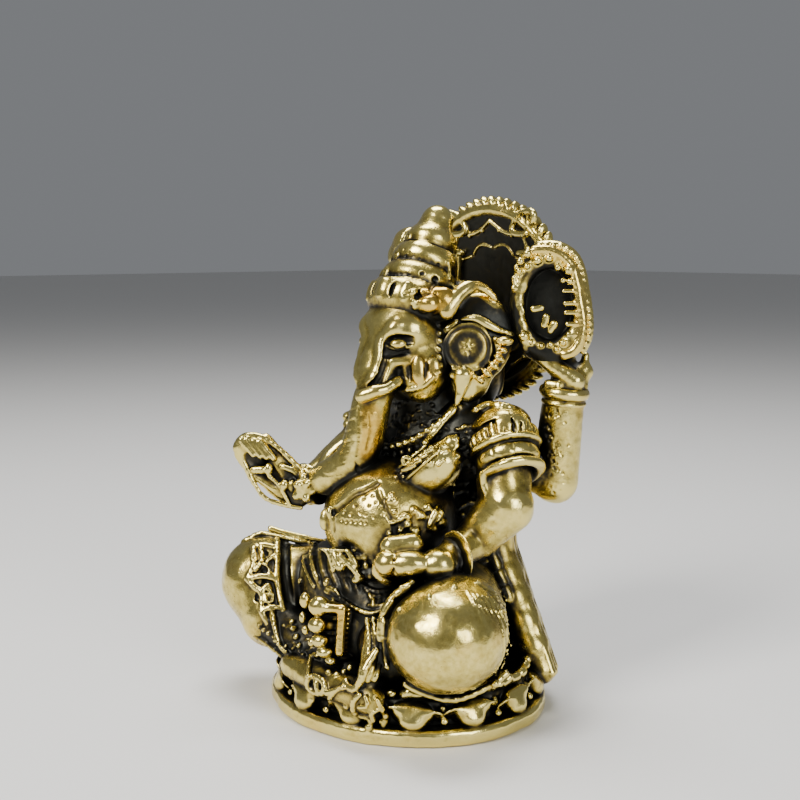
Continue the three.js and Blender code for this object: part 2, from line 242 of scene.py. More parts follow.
def spaced(path, gap, closed=False):
    """Points along a path at about the given spacing."""
    path = np.asarray(path, float)
    if closed:
        path = np.vstack([path, path[:1]])
    steps = np.linalg.norm(np.diff(path, axis=0), axis=1)
    reach = np.concatenate([[0], np.cumsum(steps)])
    count = max(2, int(round(reach[-1] / gap)) + (0 if closed else 1))
    places = np.linspace(0, reach[-1], count, endpoint=not closed)
    return np.stack([np.interp(places, reach, path[:, k]) for k in range(3)], axis=1)


def wire(path, radius, closed=False):
    """Bars from point to point; radius is one value, or one for every point."""
    path = list(path) + ([path[0]] if closed else [])
    radii = np.broadcast_to(radius, len(path)) if np.ndim(radius) == 0 else list(radius)
    if len(radii) < len(path):
        radii = list(radii) + [radii[0]]
    return [rod(path[i], path[i + 1], radii[i], radii[i + 1]) for i in range(len(path) - 1)]


def beads(path, radius, gap=None, closed=False):
    return [ball(point, radius) for point in spaced(path, gap or 2.1 * radius, closed)]


def rope(path, radius, pitch, closed=False):
    """A cord of short plump links."""
    points = spaced(path, pitch, closed)
    ends = np.vstack([points[1:], points[:1]]) if closed else points[1:]
    return [rod(a + (b - a) * 0.22, b - (b - a) * 0.22, radius) for a, b in zip(points, ends)]


# ---------------------------------------------------------------- clay

def soft_min(a, b, blend):
    if blend <= 0:
        return np.minimum(a, b)
    near = np.maximum(blend - np.abs(a - b), 0) / blend
    return np.minimum(a, b) - near * near * blend / 4


class Clay:
    """The distance field of one piece, over the part of the grid round its CAD node."""

    def __init__(self, node, slot):
        self.node = node
        self.slot = slot
        low, high = box(node)
        first = np.floor((low - PAD - GRID_LOW) / STEP).astype(int)
        last = np.ceil((high + PAD - GRID_LOW) / STEP).astype(int)
        self.first = np.clip(first, 0, GRID_SIZE)
        self.last = np.clip(last, 0, GRID_SIZE)
        self.field = np.full(self.last - self.first, REACH, np.float32)
        self.tone = np.zeros_like(self.field)
        self.warm = np.zeros_like(self.field)

    @property
    def place(self):
        return tuple(slice(a, b) for a, b in zip(self.first, self.last))

    def _window(self, shape, reach):
        first = np.maximum(np.floor((shape.low - reach - GRID_LOW) / STEP).astype(int), self.first)
        last = np.minimum(np.ceil((shape.high + reach - GRID_LOW) / STEP).astype(int) + 1, self.last)
        if np.any(first >= last):
            return None, None
        lines = [np.arange(first[k], last[k], dtype=np.float32) * STEP + GRID_LOW[k] for k in range(3)]
        grid = (lines[0][:, None, None], lines[1][None, :, None], lines[2][None, None, :])
        cut = tuple(slice(first[k] - self.first[k], last[k] - self.first[k]) for k in range(3))
        return cut, [np.float32(1) * line for line in grid]

    def add(self, *shapes, blend=0.0):
        for shape in flat(shapes):
            cut, grid = self._window(shape, REACH)
            if cut is not None:
                self.field[cut] = soft_min(self.field[cut], shape.distance(*grid), blend)
        return self

    def carve(self, *shapes, blend=0.06):
        for shape in flat(shapes):
            cut, grid = self._window(shape, blend + 2 * STEP)
            if cut is not None:
                self.field[cut] = -soft_min(-self.field[cut], shape.distance(*grid), blend)
        return self

    def settle(self, points):
        """Moves points onto the surface."""
        points = np.array(points, float)
        for _ in range(SETTLE_ROUNDS):
            here, slope = sample(self.field, self.first, points)
            points -= slope * np.clip(here, -LONGEST_MOVE, LONGEST_MOVE)[:, None]
        return points

    def give_up(self, point, direction):
        """Fades the piece out beyond a plane, where its neighbour carries the same form on."""
        lines = [np.arange(self.first[k], self.last[k]) * STEP + GRID_LOW[k] - point[k] for k in range(3)]
        past = (lines[0][:, None, None] * direction[0] + lines[1][None, :, None] * direction[1]
                + lines[2][None, None, :] * direction[2])
        self.field = np.minimum(self.field + FADE * np.maximum(past, 0), REACH).astype(np.float32)

    def paint_tone_and_shade(self, shapes, tone, warm=0.0):
        """Paints the colour inside the shapes brighter or darker, and warmer; darker patches in hollows
        stand for patina and painted shade together.
        """
        away = np.full(self.field.shape, REACH, np.float32)
        for shape in flat([shapes]):
            cut, grid = self._window(shape, 0.5)
            if cut is not None:
                away[cut] = np.minimum(away[cut], shape.distance(*grid))
        inside = np.clip(0.5 - away / PAINTED_PATCH_EDGE, 0, 1)
        self.tone += tone * inside
        self.warm += warm * inside


def flat(items):
    for item in items:
        if isinstance(item, Shape):
            yield item
        else:
            yield from flat(item)


def sample(field, first, points, slopes=True):
    """Distances at points, and the direction in which the distance grows."""
    def read(where):
        where = (where - GRID_LOW) / STEP - first
        where = np.clip(where, 0, np.array(field.shape) - 1.001)
        i = where.astype(int)
        f = where - i
        total = np.zeros(len(where))
        for corner_ in np.ndindex(2, 2, 2):
            weight = np.prod(np.where(corner_, f, 1 - f), axis=1)
            total += weight * field[i[:, 0] + corner_[0], i[:, 1] + corner_[1], i[:, 2] + corner_[2]]
        return total
    here = read(points)
    if not slopes:
        return here
    nudge = 1.5 * STEP
    slope = np.stack([read(points + nudge * axis) - read(points - nudge * axis) for axis in np.eye(3)],
                     axis=1)
    size = np.linalg.norm(slope, axis=1, keepdims=True)
    return here, slope / np.maximum(size, 1e-9)


# ---------------------------------------------------------------- drawing on the clay

FRONT_LEFT = unit((0.74, -0.66, 0.12))  # the side that shows most of the work


class Face:
    """One side of some clay, drawn on at places given as millimetres right and up of a centre."""

    def __init__(self, clays, centre, out=FRONT_LEFT):
        self.clays = clays if isinstance(clays, list) else [clays]
        self.centre = centre
        self.out, self.up, left = axes_from(out, (0, 0, 1))
        self.right = -left

    def near(self, points):
        return np.min([sample(clay.field, clay.first, points, slopes=False) for clay in self.clays], axis=0)

    def spots(self, places, lift=0.0):
        """The points of the surface at these places, raised by lift."""
        points = np.array([self.centre + self.right * a + self.up * b for a,
                           b in places]) + self.out * START_OUT
        best, closest = points.copy(), np.full(len(points), float(START_OUT))
        for _ in range(70):
            if closest.max() <= TOUCH:
                break
            here = self.near(points) - lift
            better = here < closest
            best[better], closest[better] = points[better], here[better]
            points = points - self.out * np.where(closest > TOUCH, np.clip(here, 0.04, 0.9), 0)[:, None]
        self.hit = closest < NEAR_MISS
        return best

    def line(self, places, lift=0.0, closed=False):
        places = np.asarray(places, float)
        length = np.linalg.norm(np.diff(places, axis=0), axis=1).sum()
        count = max(4, int(length / 0.3))
        curve = smooth(places, count, closed) if len(places) > 2 else np.linspace(places[0], places[1],
                count)
        return self.spots(curve, lift)[self.hit]

    def cord(self, places, radius, lift=0.0, closed=False):
        return wire(self.line(places, lift, closed), radius, closed)

    def taper(self, places, radius, lift=0.0):
        """A cord that thins out towards both ends."""
        path = self.line(places, lift)
        swell = np.sin(np.linspace(0.25, math.pi - 0.25, len(path)))
        return wire(path, radius * (0.25 + 0.75 * swell))

    def dots(self, places, radius, lift=0.0):
        return [ball(spot, radius) for spot in self.spots(places, lift)[self.hit]]

    def row(self, places, radius, gap, lift=0.0):
        path = self.line(places, lift)
        return beads(path, radius, gap) if len(path) > 1 else []

    def chain(self, places, radius, pitch, lift=0.0):
        path = self.line(places, lift)
        return rope(path, radius, pitch) if len(path) > 1 else []

    def lump(self, place, half_right, half_up, half_out, turn=0.0, lift=0.0):
        """An oval boss; turn is in degrees, anticlockwise."""
        c, s = math.cos(math.radians(turn)), math.sin(math.radians(turn))
        axes = np.array([self.right * c + self.up * s, self.up * c - self.right * s, self.out])
        return egg(self.spots([place], lift)[0], (half_right, half_up, half_out), axes)


def strokes(face, seed, count, width, height, size=0.13, length=0.7, centre=(0, 0)):
    """Short worn strokes, as left in the casting of fine ornament."""
    source = np.random.default_rng(seed)
    made = []
    for _ in range(count):
        a = centre[0] + source.uniform(-width, width)
        b = centre[1] + source.uniform(-height, height)
        angle = source.uniform(-0.5, 1.4)
        step = length * source.uniform(0.4, 1.0) / 2
        dx, dy = step * math.cos(angle), step * math.sin(angle)
        made.append(face.taper([(a - dx, b - dy), (a, b + 0.1), (a + dx, b + dy)],
                               size * source.uniform(0.7, 1.3)))
    return made


# ---------------------------------------------------------------- plinth

PETALS = 14


def plinth():
    low, high = box("plinth_foot")
    middle, half = (low + high) / 2, (high - low) / 2
    foot = Clay("plinth_foot", "polished_brass").add(oval_slab(middle, half[0], half[1], half[2], 0.5))

    mound = Clay("seat_mound", "dark_brass")
    seat_low, seat_high = box("seat_mound")
    rx, ry = (seat_high - seat_low)[:2] / 2
    mound.add(egg(v(middle[0], middle[1], seat_low[2]), (rx + 1.1, ry + 1.1, 3.3)))
    hem = circle(v(0, 0, 0), (0, 0, 1), ry + 1.1, 96, start=(1, 0, 0), oval=(rx + 1.1) / (ry + 1.1))
    hem[:, 2] = seat_low[2] + 2.35 + 0.15 * np.sin(np.arange(96) * 0.9)
    mound.add(rope(hem, 0.42, 3.1, closed=True), blend=0.15)
    mound.paint_tone_and_shade(wire(hem, 0.7, closed=True), 0.8)
    for k in range(0, 96, 2):
        mound.add(ball(hem[k] + v(0, 0, 0.1), 0.42), blend=0.2)

    lotus = Clay("lotus_ring", "aged_brass")
    ring_low, ring_high = box("lotus_ring")
    rx, ry = (ring_high - ring_low)[:2] / 2
    lotus.add(oval_slab(v(0, 0, 2.5), rx - 1.0, ry - 1.0, 1.2, 0.5))
    source = np.random.default_rng(11)
    for i in range(PETALS):
        angle = (i + 0.35) * 2 * math.pi / PETALS
        along = unit((-rx * math.sin(angle), ry * math.cos(angle), 0))
        out = np.cross(along, (0, 0, 1))
        spot = v((rx - 0.75) * math.cos(angle), (ry - 0.75) * math.sin(angle), 2.45)
        tilt = unit(out + v(0, 0, 0.9))
        rise = np.cross(along, tilt) * -1
        lean = source.uniform(-0.25, 0.25)
        reach = source.uniform(1.35, 1.8)
        start, end = spot - along * reach + rise * (0.3 + lean), spot + along * reach + rise * (0.15 - lean)
        lotus.add(strap(start, end, tilt, 0.95, 0.95, 0.8), blend=0.2)
        lotus.add(egg(spot - rise * 0.4, (1.25, 0.95, 0.8), np.array([along, rise, tilt])), blend=0.3)
        lotus.paint_tone_and_shade(egg(spot, (2.0, 1.2, 1.2), np.array([along, rise, tilt])), 0.22)
        for k in range(5):
            t = source.uniform(-1.3, 1.3)
            lotus.add(ball(spot + along * t + rise * source.uniform(-0.3, 0.5) + tilt * 0.25, 0.36),
                      blend=0.2)
        gap = (i + 0.85) * 2 * math.pi / PETALS
        lotus.add(ball(v((rx - 0.45) * math.cos(gap), (ry - 0.45) * math.sin(gap), 2.0), 0.36), blend=0.1)
        lotus.add(egg(v((rx - 0.9) * math.cos(gap), (ry - 0.9) * math.sin(gap), 2.9), (0.34, 0.34, 0.4)),
                  blend=0.1)
    return [foot, mound, lotus]


# ---------------------------------------------------------------- legs

KNEE = 5.7  # radius of the left knee's node
RIGHT_KNEE = 4.0


def left_leg():
    clay = Clay("left_leg", "polished_brass")
    knee = corner("left_leg", (1, -1, 0), KNEE)
    hip = corner("left_leg", (-1, 1, 0), 4.2)
    clay.add(egg(knee + v(0.1, 0.1, -0.35), (4.95, 4.95, 4.6)))
    clay.add(rod(knee + v(-0.6, 2.0, 0.2), hip, 4.3, 4.2), blend=0.7)
    face = Face(clay, at("left_leg"))
    hem = [(-5.9, -1.0), (-5.8, 0.6), (-5.4, 1.7), (-4.7, 2.6), (-3.6, 3.4), (-2.3, 3.9)]
    clay.add(face.chain(hem, 0.36, 1.9, 0.15), face.cord(hem, 0.25, 0.05), blend=0.12)
    clay.add(face.cord([(-5.6, 0.7), (-5.5, -1.5), (-5.3, -3.4)], 0.2, 0.1), blend=0.15)
    clay.add(face.dots([(-4.3, 1.7), (-1.9, 2.9), (0.2, 3.5), (-4.1, 3.3), (2.2, 3.6)], 0.25), blend=0.1)
    for i in range(9):
        top = (1.2 + 0.42 * i, 3.3 - 0.16 * i)
        clay.add(face.taper([top, (top[0] + 0.4, top[1] - 0.6), (top[0] + 0.9, top[1] - 1.5)], 0.15, 0.02),
                 blend=0.08)
        clay.carve(face.cord([(top[0] + 0.2, top[1] - 0.1), (top[0] + 0.9, top[1] - 1.2)], 0.1))
    for i in range(3):
        side = 4.1 + 0.33 * i
        clay.add(face.taper([(side - 0.5, 2.0), (side, 0), (side + 0.1, -2.0), (side - 0.8, -3.9)], 0.12),
                 blend=0.1)
    under = [(-3.8, -4.7), (-1.8, -5.6), (0.4, -5.9), (2.6, -5.2), (4.6, -3.9)]
    clay.add(face.cord(under, 0.24, -0.05), face.row(under, 0.26, 0.8, 0.02), blend=0.25)
    for i in range(14):
        t = i / 13
        spot = knee + v(2.0 + 2.0 * t, 2.6 + 1.5 * t, 4.4 - 6.5 * t)
        clay.carve(wire(clay.settle(smooth([spot, spot + v(0.5, 1.0, -0.5), spot + v(0.6, 2.6, -0.9)], 8)),
                        0.12))
    return clay


def right_leg():
    clay = Clay("right_leg", "polished_brass")
    knee = corner("right_leg", (-1, -1, 0), RIGHT_KNEE)
    hip = corner("right_leg", (1, 1, 0), 4.2)
    clay.add(ball(knee, RIGHT_KNEE), rod(knee, knee + v(2.6, -0.8, -2.6), 3.9, 3.2), blend=0.6)
    clay.add(rod(knee + v(1.5, 1.0, -0.3), hip, 3.5, 4.2), blend=0.6)
    face = Face(clay, at("right_leg"))
    border = [(-5.2, 3.9), (-5.0, 2.6), (-4.9, 0.6), (-4.5, -1.2), (-3.9, -3.0), (-3.3, -4.6)]
    clay.carve(face.cord([(a + 0.75, b) for a, b in border], 0.42), blend=0.2)
    lace = [[(-7.3, 3.4), (-6.2, 3.5), (-5.2, 3.3)], [(-7.3, 3.4), (-7.1, 2.0), (-7.7, 0.6)],
            [(-6.6, 3.4), (-6.3, 2.3), (-6.9, 1.4)], [(-5.3, 2.6), (-6.0, 1.9), (-5.4, 0.9)],
            [(-7.7, 0.6), (-6.3, 0.9), (-5.0, 0.6)], [(-7.7, 0.6), (-6.8, -0.2), (-6.3, -0.6),
                                                      (-6.2, -2.2)],
            [(-6.3, -0.6), (-5.7, 0.0), (-5.3, -1.2)], [(-6.2, -2.2), (-5.5, -1.8), (-4.6, -1.9)],
            [(-6.2, -2.2), (-5.4, -3.3), (-4.2, -3.6)], [(-5.9, -0.8), (-5.7, -1.4), (-5.3, -0.8)]]
    clay.add(face.cord(border, 0.3, 0.12), [face.cord(part, 0.26, 0.12) for part in lace], blend=0.12)
    clay.add(face.dots([(-6.5, 4.3), (-5.8, 4.6), (-7.1, 4.1)], 0.3), blend=0.15)
    holes = [(-7.1, 2.6), (-6.1, 2.9), (-6.1, 1.3), (-6.1, 0.2), (-6.7, -1.0), (-5.4, -0.9), (-5.3, -2.4)]
    clay.carve([face.lump(hole, 0.3, 0.38, 0.3) for hole in holes])
    back = unit(hip - knee)
    side = Face(clay, at("right_leg"), (-0.75, -0.6, 0.25))
    clay.add([side.cord([(x, 3.6), (x + 0.7, 1.6), (x - 0.2, -0.4), (x + 0.6, -2.6)], 0.22, 0.05)
              for x in (-0.9, 0.4)], blend=0.15)
    clay.add(side.row([(-0.3, 3.7), (0.1, 0.0), (0.2, -2.8)], 0.26, 0.85, 0.05), blend=0.1)
    for place in (6.2, 7.4, 8.6, 9.8):
        clay.add(hoop(knee + back * place, back, 4.0, 0.2), blend=0.3)
    return clay


def shins():
    left = Clay("left_shin", "dark_brass")
    a = corner("left_shin", (1, 0, 0), 3.0)
    b = corner("left_shin", (-1, 0, 0), 2.3)
    left.add(rod(a, b + v(0, 0, 0.2), 2.9, 2.1))
    right = Clay("right_shin", "dark_brass")
    a = corner("right_shin", (-1, 1, 1), 2.8)
    c = corner("right_shin", (1, 0, -1), 1.5)
    middle = (a + c) / 2 + v(-0.6, -0.2, -0.2)
    right.add(rod(a + v(0.8, 0.2, -0.4), middle, 2.3, 2.0), rod(middle, c, 2.0, 1.5), blend=0.6)
    face = Face(right, at("right_shin"))
    edge = [(-4.3, 4.3), (-2.8, 1.5), (-2.0, -0.8), (-1.0, -1.9), (-0.2, -3.3)]
    right.add(face.cord(edge, 0.28, 0.1), blend=0.12)
    right.add(face.row([(-0.9, 1.0), (-0.3, -0.4), (0.3, -2.0), (1.0, -3.1), (2.4, -3.6), (4.0, -3.7)], 0.3,
                       0.85, 0.05),
              blend=0.1)
    right.add(strokes(face, 5, 26, 3.2, 2.6, 0.14, 0.6, (-0.6, -1.0)), blend=0.08)
    far = Face(right, at("right_shin"), (-0.6, -0.8, 0.1))
    right.add(far.chain([(-5.0, -0.2), (-1.0, -1.6), (3.0, -2.2), (6.0, -2.6)], 0.34, 1.3, 0.05),
              far.row([(-5.0, 1.0), (-1.0, -0.3), (3.0, -1.0), (6.0, -1.6)], 0.24, 0.75, 0.03), blend=0.1)
    return [left, right]


def left_foot():
    clay = Clay("left_foot", "polished_brass")
    anklet = Clay("left_anklet", "polished_brass")
    c = at("left_foot")
    clay.add(egg(c + v(0.6, 0.3, 0.1), (2.7, 1.7, 2.7)))
    face = Face(clay, c)
    toes = (((-2.5, 2.6), 0.95, 0.9), ((-2.6, 1.0), 0.85, 0.75), ((-2.4, -0.3), 0.78, 0.62),
            ((-1.95, -1.3), 0.75, 0.52), ((-1.4, -2.05), 0.6, 0.42))
    for (a, b), wide, tall in toes:
        tip = c + face.right * a + face.up * b + face.out * 2.0
        root = c + face.right * (a + 2.0) + face.up * (b * 0.85 - 0.1) + face.out * 1.2
        clay.add(rod(root, tip, tall * 0.6, tall * 0.8), blend=0.1)
        clay.add(egg(tip, (wide, tall, 0.8), np.array([face.right, face.up, face.out])), blend=0.1)
    clay.add(egg(c + face.right * -3.75 + face.up * 3.0 + face.out * 1.2, (0.5, 0.5, 0.75)))
    for a, b, tall in ((-4.0, 1.5, 0.5), (-3.75, 0.4, 0.4), (-3.2, -0.7, 0.32)):
        clay.add(egg(c + face.right * a + face.up * b + face.out * 1.0, (0.3, 0.3, tall)))
    place = at("left_anklet")
    band = Face(anklet, place)
    anklet.add(egg(place + v(0.3, 0.2, 0), (0.8, 2.2, 2.3)))
    top = place + band.right * -0.75 + band.up * 2.0 + band.out * 1.9
    low = place + band.right * -0.95 - band.up * 1.65 + band.out * 1.8
    anklet.paint_tone_and_shade(rod(top, low, 1.0), 0.05, 0.6)
    anklet.add(beads(np.linspace(top, low, 8), 0.46, 0.55), blend=0.25)
    anklet.add(rod(top, low, 0.4, 0.34), rod(top, top + band.right * -1.2 + band.up * 0.1, 0.42, 0.4),
               blend=0.15)
    anklet.add(beads(np.linspace(top + band.right * 0.55, low + band.right * 0.45, 9), 0.2, 0.4), blend=0.1)
    return [clay, anklet]


# ---------------------------------------------------------------- cloth

def lap_cloth():
    lap = Clay("lap_cloth", "dark_brass")
    c = at("lap_cloth")
    lap.add(egg(c + v(-1.6, 1.0, 1.0), (6.6, 4.4, 4.6)), egg(c + v(2.6, -0.6, -0.6), (3.3, 2.9, 3.0)),
            blend=1.0)
    face = Face(lap, c)
    lap.add(face.cord([(-5.2, 5.5), (-5.5, 4.2), (-5.0, 2.8), (-4.1, 1.5)], 0.22, 0.1),
            face.cord([(-4.6, 4.2), (-4.1, 2.9), (-3.7, 2.3)], 0.17, 0.08), blend=0.15)
    for i in range(5):
        x = -4.4 + 0.85 * i
        lap.add(face.taper([(x, 5.4 - 0.3 * i), (x + 0.1, 3.4), (x + 0.9, 1.5)], 0.24, -0.08), blend=0.3)
    edge = [(-3.0, 1.3), (-1.9, 0.85), (-0.6, 0.25), (0.8, -0.15), (1.9, 0.1), (2.3, 0.7)]
    lap.add(face.cord(edge, 0.2, 0.12), face.cord([(0.8, 0.5), (1.9, 0.55)], 0.12, 0.05), blend=0.12)
    lap.add(face.taper([(-2.9, 1.6), (-2.3, 1.5), (-1.8, 1.1)], 0.28, 0.1), blend=0.12)
    for place in ((-6.3, 3.7), (-5.8, 1.7)):
        lap.add([face.lump((place[0] + dx, place[1] + dy), 0.3, 0.4, 0.3, turn)
                 for dx, dy, turn in ((0, 0.35, 0), (-0.2, -0.3, 30), (0.3, -0.1, -40))], blend=0.08)
    for i in range(4):
        lap.add(face.taper([(0.0 + 0.4 * i, 2.2 - 0.4 * i), (1.3, 1.6 - 0.4 * i), (2.6, 1.7 - 0.3 * i)],
                           0.13, 0), blend=0.2)
    return lap


def front_drape():
    drape = Clay("front_drape", "aged_brass")
    c = at("front_drape")
    low, high = box("front_drape")
    base = [v(low[0] + 0.6, high[1] - 2.0, low[2] + 2.2), v(c[0] - 0.6, c[1] - 0.3, low[2] + 2.0),
            v(high[0] - 1.6, c[1] + 0.1, low[2] + 1.8)]
    drape.add(wire(smooth(base, 12), 1.2), blend=0.4)
    drape.add(rod(v(high[0] - 2.6, high[1] - 0.9, high[2] - 1.0), v(high[0] - 2.0, c[1] + 0.3, c[2]), 0.7,
                  0.8),
              rod(v(high[0] - 2.0, c[1] + 0.3, c[2]), v(high[0] - 2.4, c[1] - 0.1, low[2] + 2.0), 0.8, 1.0),
              blend=0.5)
    face = Face(drape, c)
    for x, size in ((2.9, 0.2), (3.45, 0.26), (4.0, 0.22)):
        drape.add(face.cord([(x, 4.0), (x + 0.2, 2.0), (x - 0.1, 0.2), (x - 0.5, -0.8)], size, 0.1),
                  blend=0.12)
    drape.add(face.cord([(3.7, 1.6), (2.8, 0.2), (2.4, -0.9), (1.9, -1.6), (1.3, -1.5), (1.1, -1.2)], 0.3,
                        0.15), blend=0.1)
    drape.add(face.cord([(2.3, -2.0), (1.8, -2.6), (1.8, -3.5), (2.3, -4.0), (3.1, -4.1), (3.3, -4.5)],
                        0.26, 0.12),
              face.cord([(2.8, -2.1), (3.0, -2.8), (2.3, -3.0)], 0.22, 0.1), blend=0.1)
    drape.add(face.cord([(3.8, -2.4), (4.2, -3.4), (4.5, -4.2), (4.3, -4.8)], 0.27, 0.12),
              face.cord([(4.5, -4.2), (5.0, -4.4), (5.3, -4.8)], 0.25, 0.12),
              face.cord([(3.9, -3.2), (3.3, -3.5), (3.4, -4.2)], 0.2, 0.1), blend=0.1)
    ring = [(-1.45 + 0.8 * math.cos(a),
             -2.0 + 0.72 * math.sin(a)) for a in np.arange(10) * 2 * math.pi / 10]
    drape.add(face.cord(ring, 0.25, 0.1, closed=True), face.cord([(-1.5, -1.4), (-1.3, -2.6)], 0.22, 0.1),
              blend=0.1)
    drape.carve([face.lump(place, 0.2, 0.28, 0.3) for place in ((-1.85, -2.0), (-1.0, -2.05))])
    drape.add(face.cord([(-2.2, -1.3), (-2.1, -0.2), (-1.5, 0.0)], 0.24, 0.1),
              face.cord([(-0.5, -2.4), (0.3, -2.0), (0.9, -1.6)], 0.24, 0.1),
              face.cord([(-0.3, -2.9), (0.2, -2.2)], 0.18, 0.08), blend=0.1)
    drape.add(face.dots([(1.2, -3.3), (-0.4, -0.9), (0.3, -0.95), (0.9, -0.8), (1.4, -0.4), (3.1, -4.9)],
                        0.3), blend=0.08)

    return drape


def back_cape():
    cape = Clay("back_cape", "aged_brass")
    low, high = box("back_cape")

    def outline(height, turn):
        """A point of the cape at a height from 0, the hem, to 1, and a turn from -1 to 1 across the back."""
        wide = max(high[0] - 0.7 - 0.5 * (high[2] - low[2] - 2.4) * height, 4.6)
        depth = (4.6 - 1.6 * height) * math.sqrt(max(0.0, 1 - turn * turn * 0.96))
        y = high[1] - 6.0 - 0.9 * height + depth
        return v(wide * turn, y, low[2] + 1.0 + (high[2] - low[2] - 2.4) * height)
    columns = []
    for i in range(29):
        turn = math.sin((i - 14) / 14 * math.pi / 2)
        columns.append([outline(h, turn) for h in np.linspace(0, 1, 12)])
    for column in columns:
        cape.add(wire(column, 0.95), blend=0.8)
    for i, column in enumerate(columns):
        size = 0.3 if i % 2 else 0.5
        middle = v(0, at("back_cape")[1] - 3, 0)
        lifted = [point + 1.0 * unit((point - middle) * v(1, 1, 0)) for point in column]
        cape.add(wire(lifted, size), blend=0.08)
    for edge in (columns[0], columns[-1]):
        side = 0.35 if edge is columns[-1] else -0.35
        cape.add(wire([point + v(0, -0.5, 0) for point in edge], 0.6), blend=0.3)
        cape.add(rope([point + v(side, -1.1, 0) for point in edge[3:]], 0.6, 1.6), blend=0.08)
        cape.add(wire([point + v(side * 2, 0.2, 0) for point in edge], 0.28), blend=0.12)
        cape.add(wire([point + v(side * 2, 1.0, 0) for point in edge], 0.22), blend=0.12)
    for height in (0.06, 0.12):
        row = [outline(height, t) + v(0, 0.85, 0) for t in np.linspace(-0.97, 0.97, 40)]
        cape.add(beads(row, 0.34, 0.9), blend=0.12)
    return cape


# ---------------------------------------------------------------- body

